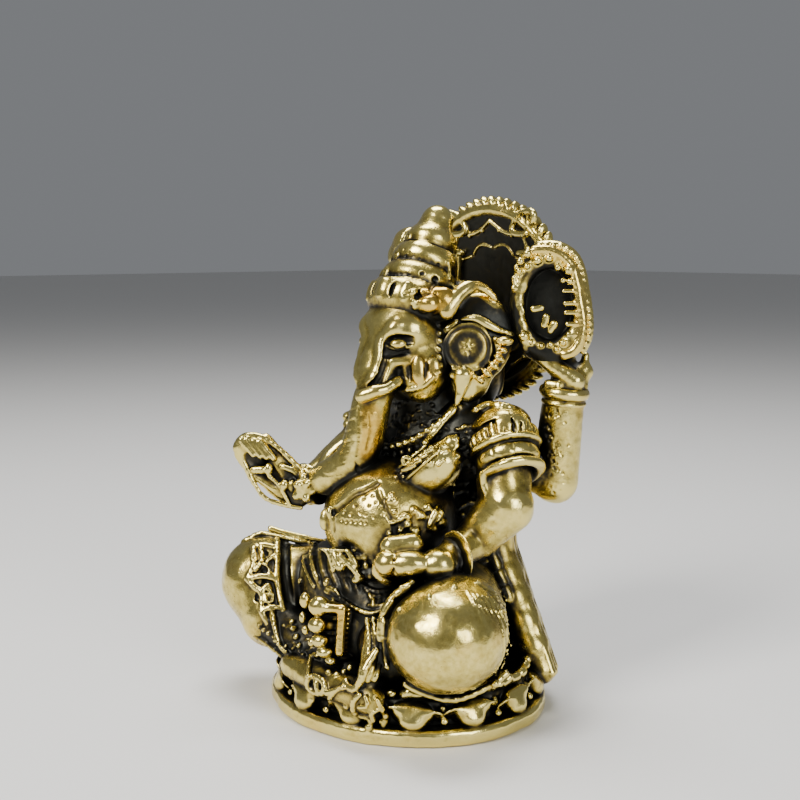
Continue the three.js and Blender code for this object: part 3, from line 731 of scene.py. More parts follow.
def body():
    belly = Clay("belly", "polished_brass")
    c = at("belly")
    belly.add(egg(c + v(0.1, 0.1, 0.3), (6.0, 6.0, 5.6)))
    face = Face(belly, c)
    crease = [(-4.9, 0.9), (-3.9, 1.8), (-3.0, 2.6), (-2.0, 3.0), (-0.9, 3.6)]
    belly.carve(face.cord(crease, 0.24, 0.06), face.cord([(0.5, -1.4), (0.6, 0.0), (-0.2, 1.6),
                                                          (-0.8, 3.0)], 0.16, 0.05),
                blend=0.25)
    belly.carve(face.dots([(-4.0 + 0.42 * i, 0.35 - 0.05 * (i % 2)) for i in range(6)], 0.17, 0.02))
    belly.carve(face.dots([(-3.8, 1.1), (-3.2, 0.95), (-2.3, 1.1), (-1.9, 1.0), (-1.3, 0.8), (-1.0, 2.0),
                           (-0.6, 1.6),
                           (-1.6, 1.7), (-2.8, 1.7), (-0.3, 2.3), (-0.4, 1.0), (-2.1, 2.3), (-1.3, 2.6)],
                          0.16, 0.02))
    belly.carve(face.cord([(-4.8, 1.3), (-4.8, 0.2), (-4.75, -0.6)], 0.2, 0.1), blend=0.1)
    belly.add(face.lump((-5.5, 0.2), 0.6, 1.0, 0.5), face.lump((-5.1, 0.9), 0.3, 0.6, 0.4), blend=0.15)
    belly.add(strokes(face, 21, 30, 1.9, 1.2, 0.15, 0.5, (2.9, 0.3)), blend=0.3)
    belly.add(strokes(face, 22, 14, 0.4, 2.2, 0.1, 0.4, (0.2, 0.6)), blend=0.2)
    belly.add(face.taper([(3.4, -0.2), (3.9, 0.9), (4.4, 1.6)], 0.3, 0.1),
              face.taper([(4.3, 0.4), (4.7, 1.4)], 0.24, 0.1),
              blend=0.1)
    right = Face(belly, c, (-0.6, -0.8, 0))
    belly.carve([right.dots([(-3.6 + 0.45 * i, 0.6 + 0.5 * k - 0.2 * (i % 2)) for i in range(12)], 0.15,
                            0.02)
                 for k in range(3)])

    chest = Clay("chest", "dark_brass")
    c = at("chest")
    for side in (-1, 1):
        chest.add(egg(c + v(side * 2.9, 1.2, 0.4), (4.2, 3.8, 3.9)), blend=0.8)
    chest.add(egg(c + v(0, -1.4, -0.6), (3.6, 3.0, 3.6)), blend=1.2)
    breasts = [c + v(3.6, -3.6, -2.3), c + v(-3.8, -3.2, -2.3)]
    for side, spot in zip((1, -1), breasts):
        lean = axes_from((side * 0.75, 0.3, 0.55), (0, -1, 0.2))
        chest.add(egg(spot, (3.6, 2.5, 2.1), lean), blend=0.3)
        chest.add(rod(spot + v(side * 0.6, 0.2, 0.6), spot + v(side * 1.9, 1.2, 2.9), 1.7, 0.7), blend=0.5)
        chest.paint_tone_and_shade([egg(spot, (3.8, 2.7, 2.3), lean), rod(spot, spot + v(side * 1.9, 1.0, 3.0), 2.0, 0.9)],
                  0.7)
    face = Face(chest, c)
    chest.add(strokes(face, 31, 90, 3.0, 2.8, 0.17, 0.7, (-1.6, 0.6)), blend=0.05)
    chest.paint_tone_and_shade(face.lump((-1.4, 0.8), 3.5, 3.0, 3.0), 0.22)
    chest.add(face.cord([(2.2, 3.0), (1.1, 1.8), (0.4, 0.9), (-0.6, -0.1)], 0.34, 0.25),
              face.chain([(2.3, 2.9), (1.2, 1.7), (0.5, 0.8), (-0.5, -0.2)], 0.28, 0.9, 0.4), blend=0.1)
    chest.paint_tone_and_shade(face.cord([(2.2, 3.0), (0.4, 0.9), (-0.6, -0.1)], 0.5, 0.25), 0.6)
    chest.add(face.cord([(-2.9, 0.1), (-1.9, 0.15), (-0.9, 0.5)], 0.24, 0.15), blend=0.08)
    lattice = [(0.1, -0.6), (-1.2, -1.7), (-2.5, -2.9), (-3.7, -4.3)]
    chest.add(face.row(lattice, 0.34, 0.62, 0.1), face.cord([(a - 0.5, b + 0.25) for a, b in lattice], 0.15,
                                                            0.2),
              face.cord([(a + 0.5, b - 0.25) for a, b in lattice], 0.15, 0.2), blend=0.08)
    for i in range(9):
        a, b = smooth(lattice, 9)[i]
        chest.add(face.cord([(a - 0.6, b - 0.2), (a + 0.5, b + 0.3)], 0.14, 0.22), blend=0.06)
    pendant = face.spots([(-2.1, -1.6)], 0.3)[0]
    chest.add(wire(circle(pendant, face.out, 0.32, 9), 0.17, closed=True))
    for i in range(8):
        t = i / 7
        chest.add(face.taper([(2.1 + 1.0 * t, -4.6 + 0.8 * t), (2.6 + 1.2 * t, -5.8 + 0.5 * t)], 0.2, 0.05),
                  blend=0.1)
    chest.add(strokes(face, 32, 40, 1.3, 3.0, 0.2, 1.0, (3.4, -1.8)), blend=0.1)
    chest.paint_tone_and_shade(face.lump((3.4, -1.8), 1.8, 3.4, 3.0), 0.2)
    back = Face(chest, c, (0, 1, 0.1))
    chest.add([back.cord([(x, 3.0), (x * 0.8, 0), (x * 0.9, -3.0)], 0.25, 0) for x in np.linspace(-5, 5,
            9)], blend=0.2)

    belt = Clay("belly_belt", "aged_brass")
    c = at("belly_belt")
    belt.add(hoop(c, (0, -0.3, 1), 5.4, 0.5, 0.6, start=(1, 0, 0)))
    belt.add([ball(point, 0.36) for point in circle(c, (0, -0.3, 1), 5.7, 42, start=(1, 0, 0))], blend=0.1)
    belt.paint_tone_and_shade(hoop(c, (0, -0.3, 1), 5.4, 2.0, 2.0), -0.5)

    buckle = Clay("buckle", "aged_brass")
    c = at("buckle")
    face = Face(buckle, c)

    def place(a, b, out=0.0):
        return c + face.right * a + face.up * b + face.out * (out + 0.5)
    buckle.add(egg(place(1.1, 3.9), (1.0, 0.85, 0.75), np.array([face.right, face.up, face.out])))
    buckle.carve(ball(place(1.35, 3.95, 0.75), 0.14))
    buckle.add([ball(place(1.1 + 1.0 * math.cos(a), 3.8 + 0.85 * math.sin(a), 0.35), 0.26)
                for a in np.arange(3.4, 9.6, 0.52)], blend=0.08)
    for path, size in (([(1.5, 3.5, 0.5), (2.0, 2.7, 0.7), (2.3, 2.2, 0.6)], 0.27),
                       ([(0.9, 3.1, 0.6), (1.6, 2.4, 0.8), (2.4, 1.5, 0.8), (2.3, 1.0, 0.6)], 0.26),
                       ([(0.4, 3.2, 0.4), (0.6, 2.6, 0.6), (0.9, 2.2, 0.7)], 0.3),
                       ([(-0.8, 3.8, 0.0), (-0.2, 3.4, 0.3), (0.1, 2.6, 0.4), (0.3, 1.8, 0.4)], 0.2),
                       ([(-1.0, 4.3, -0.2), (-0.1, 4.3, 0.2)], 0.18),
                       ([(2.2, 1.0, 0.6), (2.7, 1.2, 0.6)], 0.3)):
        buckle.add(wire(smooth([place(*p) for p in path], 8), size), blend=0.08)
    buckle.add(ball(place(0.9, 2.2, 0.7), 0.46))
    buckle.add([ball(place(a, b, 0.3), size) for a, b, size in ((2.4, 2.9, 0.4), (3.0, 3.0, 0.45),
                                                                (3.6, 3.0, 0.4),
                                                                (3.1, 2.2, 0.36), (3.9, 2.6, 0.4))],
               blend=0.15)
    buckle.add([ball(c + v(x, 0.6, z), 0.4) for x, z in ((-1.2, 0.3), (-0.6, -0.4), (0, -1.0))], blend=0.1)

    necklace = Clay("necklace", "aged_brass")
    c = at("necklace")
    for sign in (-1, 1):
        path = smooth([c + v(sign * 4.9, 3.4, 2.0), c + v(sign * 4.4, 0.6, 0.6),
                       c + v(sign * 2.6, -1.6, -1.4),
                       c + v(0, -2.6, -2.3)], 30)
        necklace.add(wire(path, 0.42), blend=0.1)
        necklace.add(beads(path + v(0, -0.4, 0.1), 0.32, 0.72), blend=0.05)
        necklace.add(beads(path + v(0, -0.1, -0.7), 0.3, 0.8), blend=0.1)

    hips = Clay("hips", "dark_brass")
    c = at("hips")
    hips.add(egg(c + v(0, -0.4, -3.9), (7.8, 4.4, 4.4)), egg(c + v(0, 0.4, 3.6), (4.9, 4.2, 4.6)),
             egg(c, (5.6, 4.0, 6.0)), blend=1.0)
    face = Face(hips, c)
    hips.add(strokes(face, 41, 90, 4.5, 5.5, 0.22, 1.1, (2.5, 0.5)), blend=0.12)
    hips.paint_tone_and_shade(face.lump((1.5, 1.5), 4.5, 5.0, 5.0), 0.22)
    neck = Clay("neck", "dark_brass")
    c = at("neck")
    neck.add(rod(c + v(0, 0.6, 1.2), c + v(0, 1.0, -1.8), 3.3, 3.7))
    neck.add(strokes(Face(neck, c), 71, 50, 2.4, 2.0, 0.15, 0.6, (-0.9, -0.6)), blend=0.06)
    return [belly, chest, belt, buckle, necklace, hips, neck]


# ---------------------------------------------------------------- head

def head_and_trunk():
    skull = Clay("head", "polished_brass")
    trunk = Clay("trunk", "polished_brass")
    c = at("head")
    path = smooth([c + v(0, -1.9, 2.3), c + v(0, -3.7, -0.2), c + v(0, -4.9, -3.7),
                   c + v(-0.4, -5.35, -6.5),
                   c + v(-1.0, -5.6, -8.3), c + v(-1.9, -6.1, -9.8), c + v(-3.2, -6.9, -10.7),
                   c + v(-4.2, -7.3, -11.1)], 40)
    stem = wire(path, np.interp(np.arange(40), [0, 6, 12, 20, 30, 39], [2.3, 1.8, 1.5, 1.5, 1.45, 1.15]))
    for clay in (skull, trunk):
        clay.add(egg(c + v(0, 0.4, -0.1), (4.3, 4.4, 4.4)), egg(c + v(0, -1.75, 2.2), (3.7, 3.1, 3.0)),
                 [egg(c + v(side * 2.6, -1.4, -1.5), (1.9, 2.1, 2.5)) for side in (-1, 1)], blend=0.7)
        clay.add(stem, blend=0.5)
        for sign in (1, -1):
            side = Face(clay, c, FRONT_LEFT * v(sign, 1, 1))
            edge = side.line([(-1.5 * sign, 2.4), (-2.6 * sign, 1.0), (-2.9 * sign, -0.9),
                              (-3.6 * sign, -2.6)], -0.42)
            groove = side.line([(-2.2 * sign, 0.7), (-2.5 * sign, -0.9), (-3.0 * sign, -2.2),
                                (-3.7 * sign, -3.0)], 0.05)
            clay.add(wire(edge, 0.55), blend=0.4)
            clay.carve(wire(groove, 0.3), blend=0.3)
    cut = c + v(0, -4.5, -2.2)
    away = unit((0, -0.75, -0.8))
    skull.give_up(cut, away)
    trunk.give_up(cut, -away)

    for m in (1, -1):
        face = Face(skull, c, FRONT_LEFT * v(m, 1, 1))
        skull.carve(face.lump((-1.25 * m, 0.95), 1.35, 0.62, 0.5, 6 * m), blend=0.3)
        skull.carve(face.lump((-1.7 * m, 0.0), 1.1, 0.42, 0.4, 8 * m), blend=0.3)
        skull.paint_tone_and_shade(face.lump((-1.5 * m, 0.4), 1.5, 1.0, 0.8), -0.22)
        skull.add(face.lump((-1.4 * m, 0.75), 0.72, 0.42, 0.42, 0, 0.3), blend=0.04)
        skull.paint_tone_and_shade(face.lump((-1.4 * m, 0.75), 0.7, 0.4, 0.5, 0, 0.3), 0.5, 0.3)
        skull.add(face.cord([(-2.4 * m, 0.6), (-1.4 * m, 0.25), (-0.3 * m, 0.6)], 0.1, 0.02), blend=0.12)
        skull.add(face.lump((-1.15 * m, -0.75), 1.0, 0.45, 0.4, 12 * m), blend=0.4)
        skull.add(face.lump((0.35 * m, -1.5), 0.6, 1.3, 0.3, 4 * m),
                  face.lump((1.7 * m, -1.5), 0.5, 1.1, 0.26), blend=0.3)
        skull.carve(face.taper([(-0.55 * m, -1.2), (-0.55 * m, -1.7), (-0.4 * m, -2.4)], 0.3),
                    face.taper([(1.05 * m, -0.8), (1.05 * m, -1.5), (0.95 * m, -2.3)], 0.24), blend=0.15)
        skull.paint_tone_and_shade(face.lump((0.2 * m, -1.4), 1.9, 1.5, 1.2), 0.05, 0.5)
        skull.paint_tone_and_shade(face.lump((-2.0 * m, 2.2), 2.4, 2.0, 2.0), 0.15)
        skull.add(face.cord([(-1.2 * m, -3.2), (-0.2 * m, -3.15), (0.9 * m, -2.8), (1.6 * m, -2.1)], 0.2,
                            0.0), blend=0.2)
        for k in range(7):
            skull.add(face.taper([(2.0 * m + 0.1 * m * (k % 3), 2.6 - 0.7 * k), (2.3 * m, 2.3 - 0.7 * k)],
                                 0.2, 0.0), blend=0.12)
    side = Face(trunk, at("trunk"))
    plane = [(1.5, 0.6), (1.6, -1.0), (1.3, -2.6)]
    trunk.paint_tone_and_shade(side.cord(plane, 0.95), -0.12, 0.85)
    trunk.carve(side.cord([(0.35, 1.2), (0.4, -0.8), (0.2, -3.0)], 0.12, 0.04), blend=0.12)
    trunk.carve(side.cord([(1.3, 0.6), (1.4, -1.0), (1.1, -2.6)], 0.1, 0.02), blend=0.12)
    trunk.carve(side.taper([(0.1, -3.6), (0.35, -4.4), (0.4, -4.9)], 0.22, 0.02))
    front = Face(trunk, at("trunk"), (-0.2, -1, 0))
    for i in range(9):
        middle, high = 0.9 - 0.1 * i, 3.2 - 0.95 * i
        trunk.carve(front.cord([(middle - 1.2, high), (middle, high - 0.3), (middle + 1.2, high)], 0.07,
                               0.03))
    trunk.carve(ball(path[-1] + unit(path[-1] - path[-3]) * 1.1, 0.42), blend=0.15)

    tusks = []
    for side, m in (("left", 1), ("right", -1)):
        tusk = Clay(f"{side}_tusk", "polished_brass")
        face = Face([skull, trunk], c, FRONT_LEFT * v(m, 1, 1))
        stations = [(-1.4 * m, -2.4), (-2.4 * m, -3.1), (-3.4 * m, -3.4), (-4.5 * m, -3.8)]
        stations = stations if side == "left" else [(0.8, -2.2), (1.8, -2.8)]
        line = face.line(stations, 0.3)
        tusk.add(wire(line, np.linspace(0.45, 0.62, len(line))), blend=0.1)
        tusks.append(tusk)

    mane = Clay("mane", "dark_brass")
    c = at("mane")
    mane.add(egg(c + v(0, -0.2, -2.6), (5.2, 2.9, 4.6)), egg(c + v(0, 0.3, 1.6), (2.4, 2.0, 4.0)),
             blend=0.8)
    back = Face(mane, c, (0, 1, 0))
    mane.add([back.cord([(x * 0.6, 3.8), (x, 0), (x * 1.1, -4.6)], 0.3, 0) for x in np.linspace(-3.6, 3.6,
            9)], blend=0.2)
    return [skull, trunk, mane, *tusks]


def ears():
    clays = []
    for side, sign in (("left", 1), ("right", -1)):
        ear = Clay(f"{side}_ear", "polished_brass")
        ring = Clay(f"{side}_earring", "aged_brass")
        c = at(f"{side}_ear")
        out = FRONT_LEFT * v(sign, 1, 1)
        face = Face(ear, c, out)
        m = sign

        def place(a, b, depth=0.0):
            return c + face.right * a * m + face.up * b + face.out * depth
        pane = np.array([face.right, face.up, face.out])
        ear.add(egg(place(-0.4, 1.2, -1.2), (3.0, 3.9, 1.0), pane),
                egg(place(-1.2, -2.0, -1.0), (1.9, 2.6, 0.9), pane),
                blend=0.6)
        # Painted shade, with patina: the hollow face of the ear is darkened round its raised work.
        ear.paint_tone_and_shade(egg(place(-0.4, 1.0, -0.6), (2.9, 3.6, 1.4), pane), -0.75)
        fold = smooth([place(-3.3, 3.2, 1.0), place(-2.7, 4.2, 0.9), place(-1.9, 5.1, 0.5),
                       place(-1.0, 5.6, 0),
                       place(0.0, 5.4, -0.4), place(1.1, 4.5, -0.6)], 18)
        ear.add(wire(fold, np.interp(np.arange(18), [0, 9, 12, 17], [0.62, 0.62, 0.4, 0.16])), blend=0.2)
        ear.paint_tone_and_shade(wire(fold, 0.7), 1.3, 0.25)
        bar = [(-2.0, 2.7), (-0.8, 2.75), (0.2, 2.3), (1.3, 1.75), (2.6, 1.4)]
        ear.add(face.taper([(a * m, b) for a, b in bar], 0.36, 0.15), blend=0.1)
        ear.paint_tone_and_shade(face.taper([(a * m, b) for a, b in bar], 0.6, 0.15), 1.3)
        ear.add(face.taper([(-3.7 * m, 1.0), (-3.1 * m, 1.9), (-2.3 * m, 2.6)], 0.45, 0.1), blend=0.12)
        ear.paint_tone_and_shade(face.taper([(-3.7 * m, 1.0), (-2.3 * m, 2.6)], 0.7, 0.1), 1.1)
        blocks = ((1.75, 0.75, 0.85, 0.45, 0), (1.65, -0.05, 0.45, 0.34, -10), (1.3, -0.75, 0.6, 0.36, -30),
                  (0.85, -1.4, 0.6, 0.34, -38), (0.2, -2.0, 0.6, 0.34, -40), (-0.4, -2.6, 0.55, 0.34, -40))
        for a, b, wide, tall, turn in blocks:
            angle = math.radians(turn * m)
            across = face.right * math.cos(angle) + face.up * math.sin(angle)
            axes = np.array([across, np.cross(face.out, across), face.out])
            ear.add(egg(place(a, b, 0.25), (wide, tall, 0.6), axes), blend=0.05)
            ear.paint_tone_and_shade(egg(place(a, b, 0.25), (wide + 0.2, tall + 0.15, 0.9), axes), 1.2, 0.3)
        ear.add(wire([place(1.0, 0.9, 0), place(1.3, -0.2, 0), place(0.9, -1.2, 0), place(0.0, -2.1, 0)],
                     0.3), blend=0.1)
        lobe = [place(-1.9, -2.3, 0.1), place(-2.0, -3.4, 0.2), place(-2.4, -4.8, 0.1)]
        ear.add(wire(smooth(lobe, 10), np.linspace(0.95, 0.15, 10)), blend=0.1)
        ear.add(wire([place(-2.8, -2.2, 0.2), place(-1.0, -2.25, 0.2)], 0.3), blend=0.2)
        ear.carve(wire([place(-2.0, -2.6, 1.05), place(-2.2, -3.8, 0.85)], 0.16), blend=0.15)
        ear.paint_tone_and_shade(wire(smooth(lobe, 10), 1.3), 1.2)
        for a, b, size in ((-4.6, 3.0, 0.3), (2.9, 0.4, 0.32), (2.7, -1.0, 0.42), (2.2, -2.4, 0.45),
                           (1.4, -3.6, 0.5)):
            if sign < 0:
                ear.add(ball(place(a, b, -0.2), size))
                ear.paint_tone_and_shade(ball(place(a, b, -0.2), size + 0.5), 1.2)

        hub = place(-1.45, 0.2, 0)
        ring.add(hoop(hub, out, 1.0, 1.15, 0.5))
        ring.add(hoop(hub + out * 0.3, out, 1.55, 0.13), hoop(hub + out * 0.2, out, 2.05, 0.15), blend=0.05)
        ring.carve(hoop(hub + out * 0.5, out, 1.8, 0.12, 0.2))
        ring.paint_tone_and_shade(ball(hub, 2.2), -0.55)
        ring.paint_tone_and_shade(hoop(hub + out * 0.3, out, 1.55, 0.16), 0.7)
        for angle in np.arange(6) * math.pi / 3 + 0.4:
            tip = hub + (face.right * math.cos(angle) + face.up * math.sin(angle)) * 0.72
            ring.add(wire([hub + out * 0.42, tip + out * 0.4], 0.13), ball(tip + out * 0.36, 0.14),
                     blend=0.03)
        ring.paint_tone_and_shade(ball(hub + out * 0.6, 0.8), 0.5)
        bar = [hub + face.right * (-1.25 * m) - face.up * 1.75 + out * 0.2,
               hub + face.right * 0.7 * m - face.up * 1.7 + out * 0.2]
        ring.add(wire(bar, 0.17), ball(bar[0], 0.24))
        ring.paint_tone_and_shade(wire(bar, 0.3), 0.9)
        clays += [ear, ring]
    return clays


def crown():
    c = at("crown_band")
    lean = unit((0, 0.39, 1))

    def along(height):
        return c + v(0, 0.42 * height - 0.2, 1.2 + height)
    band = Clay("crown_band", "aged_brass")
    tiers = [Clay(f"crown_tier_{i + 1}", "aged_brass") for i in range(3)]
    finial = Clay("crown_finial", "polished_brass")
    tilt = axes_from((0, 0.42, 1), (1, 0, 0))
    band.add(hoop(along(-0.1), tilt[0], 3.0, 1.1, 1.55), egg(along(-0.2), (3.6, 3.6, 1.9)), blend=0.4)
    tiers[0].add(egg(along(1.9), (2.0, 3.4, 3.4), axes_from(lean, (1, 0, 0))))
    tiers[1].add(egg(along(3.7), (2.0, 2.95, 2.95), axes_from(lean, (1, 0, 0))))
    tiers[2].add(egg(along(5.4), (1.75, 2.35, 2.35), axes_from(lean, (1, 0, 0))))
    finial.add(rod(along(6.3), along(7.25), 1.75, 1.5), blend=0.2)
    finial.carve(hoop(along(7.0), lean, 1.75, 0.14), blend=0.1)
    for k, spot in enumerate(circle(along(-0.1), tilt[0], 3.95, 20, start=(0, -1, 0))):
        out = unit(spot - along(-0.1))
        if k % 2:
            band.carve(egg(spot, (0.34, 0.7, 0.24), axes_from(out, tilt[0])), blend=0.12)
        else:
            band.add(egg(spot, (0.26, 0.95, 0.42), axes_from(out, tilt[0])), blend=0.25)
    rim = circle(along(1.15), tilt[0], 3.35, 64, start=(0, -1, 0))
    band.add(beads(rim, 0.2, 0.42, closed=True), blend=0.1)
    face = Face([band, *tiers, finial], c)
    band.add(strokes(face, 51, 46, 1.9, 1.0, 0.22, 0.5, (1.7, 1.1)), blend=0.12)
    band.carve(face.dots([(1.0, 1.2), (1.6, 0.6), (2.3, 0.2), (2.6, 1.3), (0.2, 1.4), (-0.75, 1.7),
                          (1.9, 1.6), (3.1, 0.5)],
                         0.24, 0.05), blend=0.12)
    band.add(face.lump((2.5, 1.1), 1.1, 1.2, 0.7), face.lump((1.2, 0.8), 0.8, 0.7, 0.5), blend=0.3)
    band.paint_tone_and_shade(face.lump((2.2, 1.2), 2.0, 1.5, 1.5), 0.0, 0.75)
    curl = face.spots([(3.15, 2.3)], 0.1)[0]
    band.add(wire(circle(curl, face.out, 0.35, 9), 0.16, closed=True), blend=0.05)
    tiers[0].carve(face.dots([(0.65, 3.5)], 0.24), face.dots([(1.8, 3.0)], 0.32), blend=0.06)
    tiers[0].carve(face.cord([(-1.4, 4.0), (0, 3.0), (1.4, 2.2), (2.6, 1.7)], 0.13, 0.03), blend=0.08)
    tiers[1].carve(face.lump((2.1, 4.1), 0.3, 0.5, 0.25), face.cord([(0.4, 4.9), (0.35, 4.4)], 0.1),
                   face.dots([(1.15, 4.4)], 0.12), blend=0.06)
    for i in range(3):
        for k in range(9):
            tiers[1].carve(face.lump((-3.1 + 0.42 * i + 0.27 * k, 3.6 + 0.27 * k - 0.3 * i), 0.16, 0.08,
                                     0.1, 40))
    tiers[1].add(face.chain([(2.9, 4.7), (3.05, 4.0), (3.0, 3.1)], 0.22, 0.5, 0.0), blend=0.06)
    for clay, height, radius, size in ((tiers[1], 4.7, 2.3, 0.12), (tiers[2], 6.3, 1.6, 0.12)):
        clay.carve(hoop(along(height), lean, radius, size), blend=0.12)
    for i, (clay, radius) in enumerate(zip(tiers, (3.3, 2.8, 2.2))):
        height = (1.7, 3.4, 5.2)[i]
        for k, spot in enumerate(circle(along(height), lean, radius, 14 - 2 * i, start=(0.3, 1, 0))):
            out = unit(spot - along(height))
            if out @ FRONT_LEFT < 0.5:
                clay.add(egg(spot - lean * 0.1, (0.3, 0.62, 0.5), axes_from(out, lean)), blend=0.15)
                clay.carve(ball(spot + out * 0.3, 0.2))
    return [band, *tiers, finial]


# ---------------------------------------------------------------- arms

def plain_cuff(node, slot, axis, radius, thick, wide):
    clay = Clay(node, slot)
    c = at(node)
    axis = unit(axis)
    clay.add(hoop(c, axis, radius, thick, wide))
    for sign in (-1, 1):
        clay.add(hoop(c + axis * sign * wide * 0.7, axis, radius + thick * 0.6, 0.26), blend=0.1)
    clay.add([ball(p, 0.22) for p in circle(c, axis, radius + thick * 0.9, 18)], blend=0.06)
    return clay


def sleeve_layers(side, sign):
    """The leaf on the shoulder, the pleated band, the row of blocks and the armlet of one upper arm."""
    sleeve = Clay(f"{side}_sleeve", "polished_brass")
    armlet = Clay(f"{side}_armlet", "polished_brass") if side == "left" else None
    shoulder = corner(f"{side}_upper_arm", (-sign, 1, 1), 2.7)
    elbow = shoulder + v(sign * 3.3, -1.3, -5.1)
    axis = unit(elbow - shoulder)
    out = FRONT_LEFT * v(sign, 1, 1)

    def ring(clay, place, radius, thick, wide, blend=0.1):
        clay.add(hoop(shoulder + axis * place, axis, radius, thick, wide), blend=blend)
    sleeve.add(egg(shoulder + v(sign * 0.3, -0.2, 1.5), (2.4, 2.4, 1.9)))
    ring(sleeve, -1.5, 2.1, 0.6, 0.6, 0.3)
    ring(sleeve, 0.0, 2.5, 0.7, 0.9)
    ring(sleeve, 0.75, 2.75, 0.5, 0.34)
    ring(sleeve, 1.75, 2.4, 0.42, 0.7)
    sleeve.carve(hoop(shoulder - axis * 0.85, axis, 2.9, 0.35, 0.18),
                 hoop(shoulder + axis * 1.2, axis, 3.1, 0.35, 0.14),
                 hoop(shoulder + axis * 2.5, axis, 3.0, 0.35, 0.16), blend=0.12)
    for k, spot in enumerate(circle(shoulder - axis * 0.1, axis, 3.15, 26)):
        sleeve.carve(rod(spot - axis * 0.5, spot + axis * 0.5, 0.1 + 0.06 * (k % 3)), blend=0.15)
    for k, spot in enumerate(circle(shoulder + axis * 1.8, axis, 2.95, 10)):
        sleeve.carve(rod(spot - axis * 0.6, spot + axis * 0.5, 0.2), blend=0.12)
    face = Face(sleeve, at(f"{side}_sleeve"), out)
    m = sign
    sleeve.add(face.taper([(-3.0 * m, 3.3), (-2.0 * m, 3.5), (-0.6 * m, 3.9), (1.2 * m, 3.8)], 0.42, 0.0),
               blend=0.2)
    if armlet:
        armlet.add(hoop(shoulder + axis * 3.05, axis, 2.5, 0.55, 0.45), blend=0.1)
        ribbon = [shoulder + axis * 3.05 + face.right * -2.5 + face.out * 1.2]
        ribbon += [ribbon[0] - face.up * 1.2 + face.right * 0.1,
                   ribbon[0] - face.up * 2.7 + face.right * 0.7]
        armlet.add(wire(smooth(ribbon, 8), np.linspace(0.4, 0.2, 8)), blend=0.15)
        return [sleeve, armlet]
    sleeve.add([ball(spot, 0.55) for spot in circle(shoulder + axis * 1.4, axis, 3.0, 11)], blend=0.2)
    return [sleeve]


def front_arms():
    clays = []
    elbow = corner("left_forearm", (1, 1, 1), 2.25)
    wrist = corner("left_forearm", (-1, -1, -1), 1.7)
    fore = Clay("left_forearm", "polished_brass").add(rod(elbow + v(0.2, 0, -0.2), wrist, 2.42, 1.85))
    upper = Clay("left_upper_arm", "aged_brass")
    shoulder = corner("left_upper_arm", (-1, 1, 1), 2.7)
    upper.add(rod(shoulder, elbow, 2.55, 2.3))
    clays += [fore, upper, *sleeve_layers("left", 1)]

    bracelet = Clay("left_bracelet", "polished_brass")
    middle = at("left_hand") + FRONT_LEFT * 1.5 + v(1.6, 1.75, -0.7)
    bracelet.add(hoop(middle, (0.2, -1, 0.1), 1.65, 0.62, 0.66, start=(0, 0, 1), oval=1.12))
    hand = Clay("left_hand", "polished_brass")
    c = at("left_hand")
    face = Face(hand, c)
    pane = np.array([face.right, face.up, face.out])

    def place(a, b, out=0.0):
        return c + face.right * a + face.up * b + face.out * (out + 1.4)
    hand.add(rod(wrist, place(1.8, -1.0, 0.0), 1.7, 1.3))
    hand.add(egg(place(1.3, -1.15, 0.6), (1.6, 1.45, 1.4), pane), blend=0.3)
    hand.add(egg(place(-1.0, -1.0, 0.9), (2.0, 1.25, 1.25), pane), blend=0.15)
    hand.add(egg(place(-2.8, -0.95, 0.7), (1.25, 1.15, 1.15), pane), blend=0.12)
    hand.paint_tone_and_shade(egg(place(-0.5, -1.2, 0.9), (3.8, 1.6, 2.0), pane), 0.3)
    hand.add(wire(smooth([place(-3.7, -1.2, 0.5), place(-3.75, -1.8, 0.4), place(-3.2, -2.3, 0.3),
                          place(-2.8, -2.6, 0.1)], 8),
                  np.linspace(0.5, 0.3, 8)), blend=0.12)
    hand.add(strap(place(-2.6, 0.4, 0.2), place(-0.7, 0.6, 0.1), face.out, 1.0, 0.9), blend=0.1)
    hand.add(rod(place(0.6, -2.1, 0.3), place(0.5, -2.7, 0.1), 0.42, 0.3), blend=0.15)
    hand.carve(wire([place(-2.35, 0.0, 1.6), place(-2.25, -1.9, 1.6)], 0.16), blend=0.12)
    clays += [bracelet, hand]

    elbow = corner("right_forearm", (-1, 1, 1), 2.2)
    wrist = corner("right_forearm", (1, -1, -1), 1.5)
    fore = Clay("right_forearm", "polished_brass").add(rod(elbow, wrist, 2.25, 1.5))
    face = Face(fore, at("right_forearm"))
    fore.add(face.taper([(1.6, 2.3), (0.0, 0.9), (-0.9, -0.3)], 0.55, -0.1), blend=0.3)
    fore.carve(face.taper([(0.9, -0.2), (0.1, -0.4), (-0.6, -0.2)], 0.4, 0.05), blend=0.2)
    upper = Clay("right_upper_arm", "aged_brass")
    shoulder = corner("right_upper_arm", (1, 1, 1), 2.7)
    upper.add(rod(shoulder, elbow, 2.5, 2.15))
    clays += [fore, upper, *sleeve_layers("right", -1)]
    clays.append(plain_cuff("right_bracelet", "aged_brass", unit(wrist - elbow), 1.5, 0.4, 0.5))
    return clays


